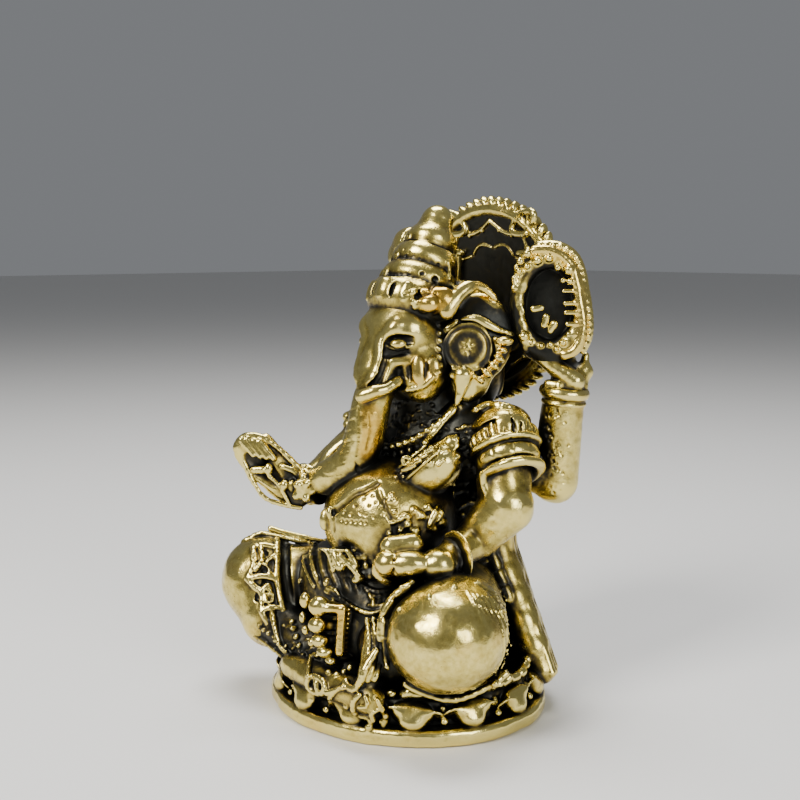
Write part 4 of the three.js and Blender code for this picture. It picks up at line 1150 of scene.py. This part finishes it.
def right_hand():
    hand = Clay("right_hand", "aged_brass")
    c = at("right_hand")
    face = Face(hand, c)

    def place(a, b, out=0.0):
        return c + face.right * a + face.up * b + face.out * out
    tip, heel = place(-2.2, 1.9, 0.3), place(3.2, -3.0, -0.1)
    hand.add(strap(tip, heel, face.out, 1.75, 0.7, 0.35), blend=0.1)
    hand.add(rod(place(2.6, -2.0, 0), place(4.6, -2.6, 0.1), 1.0, 1.1), blend=0.3)
    hand.carve(egg(place(-0.3, -0.6, 0.95), (2.3, 1.0, 0.7),
                   np.array([unit(face.right * 0.75 - face.up * 0.66),
                             unit(face.right * 0.66 + face.up * 0.75), face.out])), blend=0.2)
    rims = (([(-2.7, 1.5), (-2.0, 0.0), (-1.2, -1.7), (-0.1, -3.1), (1.8, -3.7), (3.0, -3.9)], 0.2),
            ([(-2.5, 2.2), (-1.6, 2.6), (-0.4, 2.4), (1.2, 1.3), (2.9, -0.4)], 0.26))
    for rim, size in rims:
        hand.add(wire(smooth([place(a, b, 0.5) for a, b in rim], 16), size), blend=0.12)
    for i in range(4):
        start = place(-2.3 + 0.55 * i, 2.2 - 0.05 * i + 0.1 * (i == 1), 0.7)
        end = place(-1.2 + 0.6 * i, 0.9 - 0.1 * i, 0.85)
        hand.add(rod(start, end, 0.36, 0.3), blend=0.06)
    hand.add(rod(place(-1.1, -0.45, 0.7), place(-0.4, -0.45, 0.8), 0.36),
             egg(place(0.15, -0.4, 0.8), (0.4, 0.36, 0.6)), blend=0.04)
    hand.add(wire(smooth([place(0.2, -1.0, 0.8), place(1.2, -2.0, 0.8), place(2.0, -3.5, 0.6)], 10), 0.17),
             blend=0.05)
    hand.add(wire(smooth([place(1.4, -0.2, 0.6), place(2.4, -0.6, 0.7), place(3.0, -1.2, 0.7)], 8), 0.28),
             egg(place(1.6, -1.8, 0.9), (0.45, 0.45, 0.5)), egg(place(2.3, -1.9, 0.8), (0.4, 0.4, 0.6)),
             blend=0.12)
    outside = Face(hand, c, -face.out)
    hand.add([outside.cord([(2.2 - 0.7 * i, 1.6 + 0.3 * i), (-0.6 - 0.6 * i, -1.4 + 0.3 * i)], 0.3,
                           0) for i in range(4)], blend=0.2)

    sweet = Clay("sweet", "polished_brass")
    c = at("sweet")
    sweet.add(egg(c + v(0.3, 0, 0.1), (1.0, 1.0, 1.15)), rod(c + v(0, 0, 0.8), c + v(-0.2, 0, 1.5), 0.55,
                                                             0.3), blend=0.3)
    knobs = Face(sweet, c)
    sweet.add(knobs.dots([(-0.6, -0.6), (0.3, -0.8), (0.9, -0.1), (-0.5, 0.4), (0.4, 0.5), (0.0, 1.1)],
                         0.4), blend=0.25)
    return [hand, sweet]


def rear_arms():
    clays = []
    for side, sign in (("left", 1), ("right", -1)):
        fore = Clay(f"{side}_rear_forearm", "polished_brass")
        low, high = box(f"{side}_rear_forearm")
        c = (low + high) / 2
        elbow = v(c[0] - sign * 0.1, c[1], low[2] + 2.2)
        wrist = v(c[0] + sign * 0.55, c[1] + 0.3, high[2] - 1.2)
        fore.add(rod(elbow, wrist, 2.1, 1.85))
        source = np.random.default_rng(61 + sign)
        pits = Face(fore, c, FRONT_LEFT * v(sign, 1, 1))
        fore.carve(pits.dots([(source.normal(-0.8, 0.8) * sign,
                               source.uniform(-5, 4.4)) for _ in range(90)], 0.17, 0.06),
                   blend=0.02)
        upper = Clay(f"{side}_rear_upper_arm", "polished_brass")
        shoulder = corner(f"{side}_rear_upper_arm", (-sign, -1, 1), 2.4)
        upper.add(rod(shoulder, elbow, 2.35, 2.0))
        cuff = Clay(f"{side}_rear_bracelet", "polished_brass")
        axis = unit(wrist - elbow)
        place = at(f"{side}_rear_bracelet")
        cuff.add(hoop(place + axis * 0.4, axis, 1.75, 0.5, 0.55),
                 hoop(place - axis * 0.5, axis, 1.7, 0.3, 0.2), blend=0.1)

        hand = Clay(f"{side}_rear_hand", "polished_brass")
        c = at(f"{side}_rear_hand")
        face = Face(hand, c, FRONT_LEFT * v(sign, 1, 1))

        def spot(a, b, out=0.0):
            return c + face.right * a * sign + face.up * b + face.out * out
        hand.add(wire(smooth([spot(-2.9, 1.9, 0.3), spot(-1.6, 1.1, 0.5), spot(-0.3, 0.2, 0.7),
                              spot(1.2, -0.9, 0.8)], 12),
                      np.linspace(0.4, 1.0, 12)), blend=0.1)
        hand.add(rod(spot(1.2, -0.6, 0), spot(2.2, 0.0, -0.3), 1.1, 0.9),
                 rod(spot(1.9, -1.2, 0), spot(2.4, 1.4, -0.2), 0.7, 0.35),
                 rod(spot(0.6, -1.6, 0), spot(0.6, 0.4, -0.8), 1.4, 1.2), blend=0.3)
        hand.add(rod(spot(-1.0, -1.2, 0.5), spot(-0.1, -1.3, 0.9), 0.45, 0.55), blend=0.1)
        for i in range(4):
            hand.add(rod(spot(-1.0 + 0.8 * i, 0.6 - 0.2 * i, -1.2),
                         spot(-0.8 + 0.7 * i, 1.6 - 0.2 * i, -1.4), 0.5, 0.42), blend=0.1)
        clays += [fore, upper, cuff, hand]

    clays.append(noose())
    handle = Clay("axe_handle", "aged_brass")
    c = at("axe_handle")
    half = (box("axe_handle")[1] - box("axe_handle")[0]) / 2
    handle.add(rod(c - v(0.2, -0.2, half[2] - 0.8), c + v(0.2, -0.2, half[2] - 0.5), 0.7))
    handle.add([hoop(c + v(0, 0, z), (0, 0, 1), 0.72, 0.2) for z in (-1.5, -0.5, 0.5, 1.5)], blend=0.1)
    axe = Clay("axe_head", "polished_brass")
    c = at("axe_head")
    axe.add(egg(c + v(0.3, 0.2, 0.1), (2.3, 1.5, 1.75)), egg(c + v(-1.2, 0.2, -1.0), (1.6, 1.1, 1.5)),
            blend=0.6)
    face = Face(axe, c)
    for k, inset in enumerate((0.35, 0.7)):
        axe.carve(face.cord([(-1.4 + inset, -1.8), (-1.1 + inset, 0.2), (0.1, 1.9 - inset),
                             (1.2, 1.7 - inset)], 0.1, 0.02))
    return clays + [handle, axe]


def noose():
    """The loop held in the rear left hand: a hollow bordered by beads, teeth and a thick outer band."""
    clay = Clay("noose", "aged_brass")
    c = at("noose")
    facing = unit((0.66, -0.74, 0.05))
    face = Face(clay, c, facing)
    plane = np.array([facing, face.up, face.right])

    def place(a, b, out=0.0):
        return c + face.right * a + face.up * b + face.out * out
    clay.add(hoop(c, facing, 2.75, 0.72, 0.95, start=(0, 0, 1), oval=1.5))
    clay.add(egg(c - facing * 1.1, (0.5, 4.4, 3.1), plane), blend=0.3)
    # Painted shade, with the patina of the hollow: the inside of the loop and its lower left are darkened.
    clay.paint_tone_and_shade(egg(c, (3.0, 6.0, 4.4), plane), -0.55)
    clay.paint_tone_and_shade(egg(c - facing * 0.3, (2.4, 3.7, 2.4), plane), -0.7)
    clay.paint_tone_and_shade([egg(place(-2.9, -1.6, 0), (2.0, 3.0, 1.2), np.array([facing, face.up, face.right])),
              egg(place(-1.0, -4.6, 0), (2.0, 1.0, 2.6), plane)], -0.6)
    band = [(-1.4, 4.7), (-0.1, 4.7), (1.0, 4.2), (1.9, 3.2), (2.3, 1.7), (2.6, 0.1), (2.85, -1.4),
            (2.75, -2.9), (2.2, -4.0),
            (1.3, -4.4)]
    clay.add(wire(smooth([place(a, b, 0.7) for a, b in band], 30), 0.42), blend=0.12)
    clay.paint_tone_and_shade(wire(smooth([place(a, b, 0.7) for a, b in band], 30), 0.7), 0.75, 0.4)
    rim = [(-1.0, 5.15), (0.2, 5.2), (1.2, 4.9), (2.2, 4.1), (2.8, 2.7), (3.1, 1.0), (3.4, -1.0),
           (3.4, -2.7), (2.9, -3.9)]
    clay.add(wire(smooth([place(a, b, 0.1) for a, b in rim], 30), 0.42), blend=0.08)
    clay.paint_tone_and_shade(wire(smooth([place(a, b, 0.1) for a, b in rim], 30), 0.7), 0.55)
    clay.add([ball(spot, 0.24) for spot in spaced(smooth([place(a, b, 0.5) for a, b in rim], 40), 0.62)],
             blend=0.06)
    bosses = ((-2.0, 4.4, 0.38), (-2.6, 3.75, 0.33), (-1.1, 3.8, 0.38), (-0.1, 4.0, 0.36),
              (0.65, 3.2, 0.34), (-2.0, 3.3, 0.28),
              (1.1, 2.1, 0.3), (1.6, 3.0, 0.5), (1.7, 2.0, 0.36), (0.1, -3.5, 0.26), (1.2, -3.35, 0.32),
              (-2.2, -2.8, 0.48), (-2.7, 2.9, 0.26), (0.6, -3.9, 0.24), (-1.6, -3.3, 0.24),
              (-0.7, -3.6, 0.26))
    clay.add([ball(place(a, b, 1.0), size) for a, b, size in bosses], blend=0.03)
    clay.add(rod(place(-2.2, -2.9, 0.9), place(-2.0, -3.9, 0.8), 0.36, 0.3), blend=0.1)
    clay.paint_tone_and_shade([ball(place(a, b, 1.0), size + 0.12) for a, b, size in bosses], 1.5)
    for b in (1.2, 0.1, -0.7, -1.7, -2.6):
        tooth = wire([place(1.2 + 0.12 * (1.2 - b), b, 0.75), place(2.3, b, 0.8)], 0.22)
        clay.add(tooth, blend=0.05)
        clay.paint_tone_and_shade([rod(place(1.2, b, 0.75), place(2.3, b, 0.8), 0.4)], 1.0)
    clay.carve([ball(place(a, b, 1.2), size) for a, b, size in ((1.75, 0.65, 0.36), (1.95, -0.3, 0.36),
                                                                (2.1, -1.2, 0.33),
                                                                (2.1, -2.15, 0.3))], blend=0.05)
    left = ((-2.95, 3.3, -2.95, 2.6), (-3.15, 2.3, -3.1, 1.7), (-3.15, 1.45, -2.4, 1.5),
            (-2.7, 0.6, -2.6, 0.1),
            (-2.5, -0.2, -2.3, -0.7), (-2.35, -1.5, -2.2, -1.8), (-1.4, -0.4, -0.7, -0.3),
            (-0.3, -1.1, -0.5, -1.8),
            (0.4, -1.7, 0.1, -2.3))
    for a, b, a2, b2 in left:
        size = 0.34 if a > -1.5 else 0.2
        clay.add(rod(place(a, b, 0.75), place(a2, b2, 0.75), size, size * 0.8))
        clay.paint_tone_and_shade([rod(place(a, b, 0.75), place(a2, b2, 0.75), size + 0.15)], 1.5)
    back = Face(clay, c, -facing)
    ring = [(2.4 * math.cos(a), 3.5 * math.sin(a)) for a in np.arange(24) * math.pi / 12]
    clay.add(back.cord(ring, 0.3, 0, closed=True), back.dots([(0.62 * a, 0.62 * b) for a, b in ring[::2]],
                                                             0.4), blend=0.15)
    return clay


# ---------------------------------------------------------------- halo

SCALLOPS = 11


def halo():
    dish = Clay("halo_dish", "dark_brass")
    low, high = box("halo_dish")
    c = (low + high) / 2
    radius = (high[0] - low[0]) / 2

    def bowl(x, y, z):
        r = np.sqrt((x - c[0]) ** 2 + ((z - c[2]) / 0.98) ** 2)
        middle = high[1] - 0.4 - 1.1 * (r / radius) ** 2
        return np.maximum(np.abs(y - middle) - 0.6, r - radius - 0.6)
    dish.add(Shape(bowl, low - 0.8, high + 0.8))
    # Painted shade, with patina: the whole dish, sunk inside the rim, is darkened.
    dish.paint_tone_and_shade(Shape(bowl, low - 0.8, high + 0.8), -0.75)
    for sign in (1, -1):
        def face(r, angle, lift=0.0):
            y = high[1] - 0.4 - 1.1 * (r / radius) ** 2 - sign * (0.6 + lift)
            return v(c[0] + r * math.sin(angle), y, c[2] + 0.98 * r * math.cos(angle))
        line = []
        for i in range(SCALLOPS * 8):
            angle = (i + 2) * 2 * math.pi / (SCALLOPS * 8)
            line.append(face(radius * (0.95 - 0.11 * abs(math.sin(angle * SCALLOPS / 2))), angle))
        dish.add(wire(line, 0.17, closed=True), blend=0.06)
        dish.paint_tone_and_shade(wire(line, 0.3, closed=True), 0.9)
        for i in range(SCALLOPS):
            angle = (i + 0.5) * 2 * math.pi / SCALLOPS
            arc = [face(radius * (0.62 + 0.07 * math.cos(1.4 * t)),
                        angle + 0.24 * t) for t in np.linspace(-1, 1, 9)]
            dish.add(wire(arc, 0.14), blend=0.05)
            dish.paint_tone_and_shade(wire(arc, 0.25), 0.6)
            dish.add([ball(face(radius * 0.84, angle + d), 0.2) for d in (-0.13, 0.13)], blend=0.05)
    for sign in (-1, 1):
        def spot(x, z, y=1.35):
            return v(c[0] - sign * x, high[1] - y, c[2] + z)
        curl = smooth([spot(5.8, 7.3, 2.4), spot(5.9, 8.0, 2.4), spot(5.2, 8.3, 2.3), spot(4.1, 8.0, 2.2),
                       spot(3.3, 7.3, 2.1), spot(3.0, 6.7, 2.1),
                       spot(3.4, 6.3, 2.2), spot(4.4, 6.2, 2.3), spot(5.1, 6.2, 2.4)], 30)
        column = [spot(4.3, 4.3, 1.9), spot(4.5, 1.2, 1.8)]
        bar = [spot(5.6, 4.6, 2.1), spot(3.7, 4.5, 1.9)]
        thin = [spot(5.2, 4.4, 2.0), spot(5.2, 1.3, 1.9)]
        dish.add(wire(curl, 0.32), wire(column, 0.42), wire(bar, 0.3), wire(thin, 0.18), blend=0.06)
        dish.paint_tone_and_shade([wire(curl, 0.4), wire(column, 0.5), wire(bar, 0.4), wire(thin, 0.25)], 1.4)

    rim = Clay("halo_rim", "aged_brass")
    low, high = box("halo_rim")
    c = (low + high) / 2
    outer = (high[0] - low[0]) / 2
    rim.add(hoop(c, (0, 1, 0), outer - 1.05, 0.62, 0.75, start=(1, 0, 0)), blend=0.2)
    teeth = circle(c, (0, 1, 0), outer - 0.5, 58, start=(1, 0, 0))
    for tooth in teeth:
        out = unit(tooth - c)
        slant = unit(out + 0.9 * np.cross(out, (0, 1, 0)))
        rim.add(egg(tooth, (0.85, 0.62, 0.33), axes_from(slant, (0, 1, 0))), blend=0.06)
    for y in (-0.75, 0.75):
        rim.carve(wire(circle(c + v(0, y, 0), (0, 1, 0), outer - 0.85, 90, start=(1, 0, 0)), 0.1,
                       closed=True))
    return [dish, rim]


# ---------------------------------------------------------------- one casting from all the clays

def coarse_noise(spacing, seed):
    """Smooth noise over the whole grid, with bumps about `spacing` millimetres apart."""
    source = np.random.default_rng(seed)
    cells = np.ceil(GRID_SIZE * STEP / spacing).astype(int) + 3
    noise = source.normal(0, 1, cells).astype(np.float32)
    for axis in range(3):
        places = np.arange(GRID_SIZE[axis]) * STEP / spacing
        i = places.astype(int)
        t = places - i
        t = (t * t * (3 - 2 * t)).astype(np.float32)
        shape = [1, 1, 1]
        shape[axis] = -1
        t = t.reshape(shape)
        noise = np.take(noise, i, axis) * (1 - t) + np.take(noise, i + 1, axis) * t
    return noise


def blur(values, sigma):
    """A Gaussian blur; sigma is in cells."""
    reach = int(math.ceil(2.5 * sigma))
    weights = np.exp(-0.5 * (np.arange(-reach, reach + 1) / sigma) ** 2)
    weights = (weights / weights.sum()).astype(np.float32)
    for axis in range(3):
        padded = np.pad(values, [(reach, reach) if k == axis else (0, 0) for k in range(3)], mode="edge")
        total = np.zeros_like(values)
        for k, weight in enumerate(weights):
            cut = [slice(None)] * 3
            cut[axis] = slice(k, k + values.shape[axis])
            total += weight * padded[tuple(cut)]
        values = total
    return values


class Casting:
    """All clays melted together, with what is needed to cut each piece out again."""

    def __init__(self, clays):
        melted = np.zeros(GRID_SIZE, np.float32)
        self.nearest = np.full(GRID_SIZE, REACH, np.float32)
        self.second = np.full(GRID_SIZE, REACH, np.float32)
        for clay in clays:
            here = clay.place
            melted[here] += np.exp(-clay.field / MELT)
            nearest, second = self.nearest[here], self.second[here]
            self.second[here] = np.where(clay.field < nearest, nearest, np.minimum(second, clay.field))
            self.nearest[here] = np.minimum(nearest, clay.field)
        self.whole = -MELT * np.log(melted + np.float32(math.exp(-REACH / MELT)))
        del melted
        self.whole += 0.035 * coarse_noise(1.7, 3) + 0.014 * coarse_noise(0.55, 4)
        solid = np.clip(0.5 - self.whole / (2 * STEP), 0, 1)
        self.fine = blur(solid, 0.28 / STEP)
        skip = int(round(0.4 / STEP))
        count = GRID_SIZE // skip
        small = solid[tuple(slice(0, n * skip) for n in count)]
        small = small.reshape(count[0], skip, count[1], skip, count[2], skip).mean(axis=(1, 3, 5))
        self.skip = skip
        # How sheltered a point is, from blurred solidity just outside it: it darkens the brass as patina in
        # hollows and as painted shade.
        self.near = blur(small, 0.7 / (skip * STEP))
        self.far = blur(small, 1.9 / (skip * STEP))

    def skin(self, clay):
        """The closed surface of one piece: vertices in millimetres, and quads."""
        here = clay.place
        own = clay.field
        other = np.where(own <= self.nearest[here], self.second[here], self.nearest[here])
        past = own - other
        field = np.maximum(self.whole[here] + DIP * np.maximum(past, 0), past - LAP)
        heights = np.arange(clay.first[2], clay.last[2]) * STEP + GRID_LOW[2]
        field = np.maximum(field, -heights)
        field[[0, -1]] = field[:, [0, -1]] = field[:, :, [0, -1]] = REACH
        grid = openvdb.FloatGrid(REACH)
        grid.copyFromArray(np.clip(field, -REACH, REACH).astype(np.float32))
        points, quads = grid.convertToQuads(0.0)
        return points * STEP + GRID_LOW + clay.first * STEP, quads

    def relief(self, clay, points):
        """How far each point stands proud, how sheltered it is at two scales (read as patina in the hollows
        and as painted shade), and its painted tone and shade.
        """
        zero = np.zeros(3, int)
        _, out = sample(self.whole, zero, points)
        # Sheltered places are darkened by the material: patina in hollows together with painted shade.
        patina_and_shade = [sample(self.near, zero, self.coarse(points + out * 0.75), slopes=False) - 0.14,
                   sample(self.far, zero, self.coarse(points + out * 2.0), slopes=False) - 0.146]
        painted = [sample(field, clay.first, points, slopes=False) for field in (clay.tone, clay.warm)]
        return [0.5 - sample(self.fine, zero, points, slopes=False), *patina_and_shade, *painted]

    def coarse(self, points):
        """The same places, as if the coarser grid had the spacing of the sculpting grid."""
        shift = (self.skip - 1) / 2 * STEP
        return (points - GRID_LOW - shift) / self.skip + GRID_LOW


def build_mesh(name, points, quads, relief):
    mesh = bpy.data.meshes.new(name)
    mesh.vertices.add(len(points))
    mesh.vertices.foreach_set("co", (points * MM).astype(np.float32).ravel())
    mesh.loops.add(quads.size)
    mesh.loops.foreach_set("vertex_index", quads[:, ::-1].astype(np.int32).ravel())
    mesh.polygons.add(len(quads))
    mesh.polygons.foreach_set("loop_start", np.arange(0, quads.size, 4, dtype=np.int32))
    mesh.polygons.foreach_set("use_smooth", np.ones(len(quads), bool))
    mesh.update(calc_edges=True)
    # near and far: how sheltered a point is, turned by the material into patina and painted shade; tone:
    # painted tone and shade
    for key, values in zip(("ridge", "near", "far", "tone", "warm"), relief):
        mesh.attributes.new(key, "FLOAT", "POINT").data.foreach_set("value", values.astype(np.float32))
    piece = bpy.data.objects.new(name, mesh)
    bpy.context.scene.collection.objects.link(piece)
    return piece


# ---------------------------------------------------------------- finish, with painted shade

def antique_brass(name, wear, tint):
    """Cast brass with black patina that is rubbed off where the relief stands out; sheltered places are
    darkened as patina and as painted shade.
    """
    material = bpy.data.materials.new(name)
    material.use_nodes = True
    nodes, links = material.node_tree.nodes, material.node_tree.links
    shader = nodes["Principled BSDF"]

    def node(kind, **values):
        made = nodes.new(kind)
        for key, value in values.items():
            if hasattr(made, key):
                setattr(made, key, value)
            else:
                made.inputs[key].default_value = value
        return made

    def math_node(operation, a, b=None, clamp=False):
        made = nodes.new("ShaderNodeMath")
        made.operation = operation
        made.use_clamp = clamp
        for socket, value in zip(made.inputs, (a, b)):
            if value is None:
                continue
            if isinstance(value, (int, float)):
                socket.default_value = value
            else:
                links.new(value, socket)
        return made.outputs[0]

    place = nodes.new("ShaderNodeTexCoord").outputs["Object"]

    def noise(scale, detail=4.0):
        made = node("ShaderNodeTexNoise", Scale=scale, Detail=detail, Roughness=0.55)
        links.new(place, made.inputs["Vector"])
        return made.outputs["Fac"]

    def read(key):
        return node("ShaderNodeAttribute", attribute_name=key).outputs["Fac"]

    def part(value, middle, gain):
        return math_node("MULTIPLY", math_node("SUBTRACT", value, middle), gain)

    # ridge brightens raised work as wear; near and far darken sheltered places, as patina in hollows and as
    # painted shade; tone adds each piece's painted tone and shade
    terms = [part(read("ridge"), 0.0, 2.6), part(read("near"), 0.0, -2.1), part(read("far"), 0.0, -1.3),
             read("tone"), part(noise(700.0), 0.5, 0.55), part(noise(2600.0, 5.0), 0.5, 0.55)]
    level = wear
    for term in terms:
        level = math_node("ADD", term, level)
    level = math_node("ADD", level, 0.0, clamp=True)

    ramp = nodes.new("ShaderNodeValToRGB")
    stops = ramp.color_ramp.elements
    stops[0].position, stops[0].color = 0.0, (0.026, 0.026, 0.022, 1)
    stops[1].position, stops[1].color = 1.0, (0.84, 0.70, 0.22, 1)
    for position, colour in ((0.22, (0.048, 0.042, 0.028, 1)), (0.40, (0.16, 0.122, 0.040, 1)),
                             (0.60, (0.40, 0.31, 0.072, 1)), (0.80, (0.64, 0.51, 0.130, 1))):
        stop = stops.new(position)
        stop.color = colour
    links.new(level, ramp.inputs["Fac"])

    blotch = math_node("MULTIPLY", math_node("SUBTRACT", noise(330.0, 3.0), 0.52), 4.0, clamp=True)
    amount = math_node("ADD", math_node("MULTIPLY", blotch, tint), read("warm"), clamp=True)
    warm = node("ShaderNodeMixRGB", blend_type="MULTIPLY")
    links.new(amount, warm.inputs["Fac"])
    links.new(ramp.outputs["Color"], warm.inputs["Color1"])
    warm.inputs["Color2"].default_value = (0.95, 0.74, 0.42, 1)
    links.new(warm.outputs["Color"], shader.inputs["Base Color"])

    shader.inputs["Metallic"].default_value = 1.0
    rough = nodes.new("ShaderNodeMapRange")
    links.new(level, rough.inputs["Value"])
    rough.inputs["To Min"].default_value = 0.42
    rough.inputs["To Max"].default_value = 0.2
    scuff = math_node("MULTIPLY", math_node("SUBTRACT", noise(2300.0, 5.0), 0.5), 0.22)
    links.new(math_node("ADD", rough.outputs["Result"], scuff, clamp=True), shader.inputs["Roughness"])

    bump = nodes.new("ShaderNodeBump")
    bump.inputs["Strength"].default_value = 0.35
    bump.inputs["Distance"].default_value = 0.00006
    height = math_node("ADD", noise(1500.0, 4.0), math_node("MULTIPLY", noise(6000.0, 3.0), 0.35))
    links.new(height, bump.inputs["Height"])
    links.new(bump.outputs["Normal"], shader.inputs["Normal"])
    return material


# ---------------------------------------------------------------- stage

def area_light(name, place, aim, size, power, colour=(1, 1, 1)):
    data = bpy.data.lights.new(name, "AREA")
    data.shape = "RECTANGLE"
    data.size, data.size_y = size
    data.energy = power
    data.color = colour
    lamp = bpy.data.objects.new(name, data)
    lamp.location = place
    lamp.rotation_euler = (Vector(aim) - Vector(place)).to_track_quat("-Z", "Y").to_euler()
    bpy.context.scene.collection.objects.link(lamp)
    return lamp


AZIMUTH = math.radians(48)
BACK = Vector((math.sin(AZIMUTH), -math.cos(AZIMUTH), 0))
RIGHT = Vector((math.cos(AZIMUTH), math.sin(AZIMUTH), 0))
DISTANCE = 0.1134
HEIGHT = 0.0415
PITCH = math.radians(7)


def camera():
    data = bpy.data.cameras.new("camera")
    data.lens = 57.15
    data.sensor_width = 36.0
    data.clip_start = 0.005
    eye = bpy.data.objects.new("camera", data)
    eye.location = BACK * DISTANCE + Vector((0, 0, HEIGHT)) - RIGHT * 0.00065
    look = -BACK * math.cos(PITCH) - Vector((0, 0, math.sin(PITCH)))
    eye.rotation_euler = look.to_track_quat("-Z", "Y").to_euler()
    bpy.context.scene.collection.objects.link(eye)
    bpy.context.scene.camera = eye


def stage():
    floor_mesh = bpy.data.meshes.new("floor")
    reach = 1.5
    floor_mesh.from_pydata([(-reach, -reach, 0), (reach, -reach, 0), (reach, reach, 0), (-reach, reach, 0)],
                           [],
                           [(0, 1, 2, 3)])
    floor = bpy.data.objects.new("floor", floor_mesh)
    bpy.context.scene.collection.objects.link(floor)
    pale = bpy.data.materials.new("pale_floor")
    pale.use_nodes = True
    pale.node_tree.nodes["Principled BSDF"].inputs["Base Color"].default_value = (0.72, 0.71, 0.69, 1)
    pale.node_tree.nodes["Principled BSDF"].inputs["Roughness"].default_value = 0.7
    floor_mesh.materials.append(pale)

    centre = (0, 0, 0.022)
    area_light("key", BACK * 0.16 - RIGHT * 0.16 + Vector((0, 0, 0.22)), centre, (0.10, 0.14), 1.1,
               (1.0, 0.98, 0.94))
    area_light("fill", BACK * 0.2 + RIGHT * 0.14 + Vector((0, 0, 0.10)), centre, (0.12, 0.12), 0.35,
               (0.95, 0.97, 1.0))
    area_light("top", -BACK * 0.06 + Vector((0, 0, 0.26)), centre, (0.14, 0.10), 0.7)
    world = bpy.data.worlds.new("studio")
    world.use_nodes = True
    world.node_tree.nodes["Background"].inputs["Color"].default_value = (0.55, 0.57, 0.60, 1)
    world.node_tree.nodes["Background"].inputs["Strength"].default_value = 0.35
    bpy.context.scene.world = world


# ---------------------------------------------------------------- everything together

def main():
    camera()
    stage()
    clays = [*plinth(), left_leg(), right_leg(), *shins(), *left_foot(), lap_cloth(), front_drape(),
             back_cape(),
             *body(), *head_and_trunk(), *ears(), *crown(), *front_arms(), *right_hand(), *rear_arms(),
             *halo()]
    casting = Casting(clays)
    materials = {"polished_brass": antique_brass("polished_brass", 0.72, 0.5),
                 "aged_brass": antique_brass("aged_brass", 0.6, 0.45),
                 "dark_brass": antique_brass("dark_brass", 0.25, 0.3)}
    for clay in clays:
        points, quads = casting.skin(clay)
        piece = build_mesh(f"cast_{clay.node}", points, quads, casting.relief(clay, points))
        piece.data.materials.append(materials[clay.slot])
        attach(piece, "root")
        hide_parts(clay.node)


main()
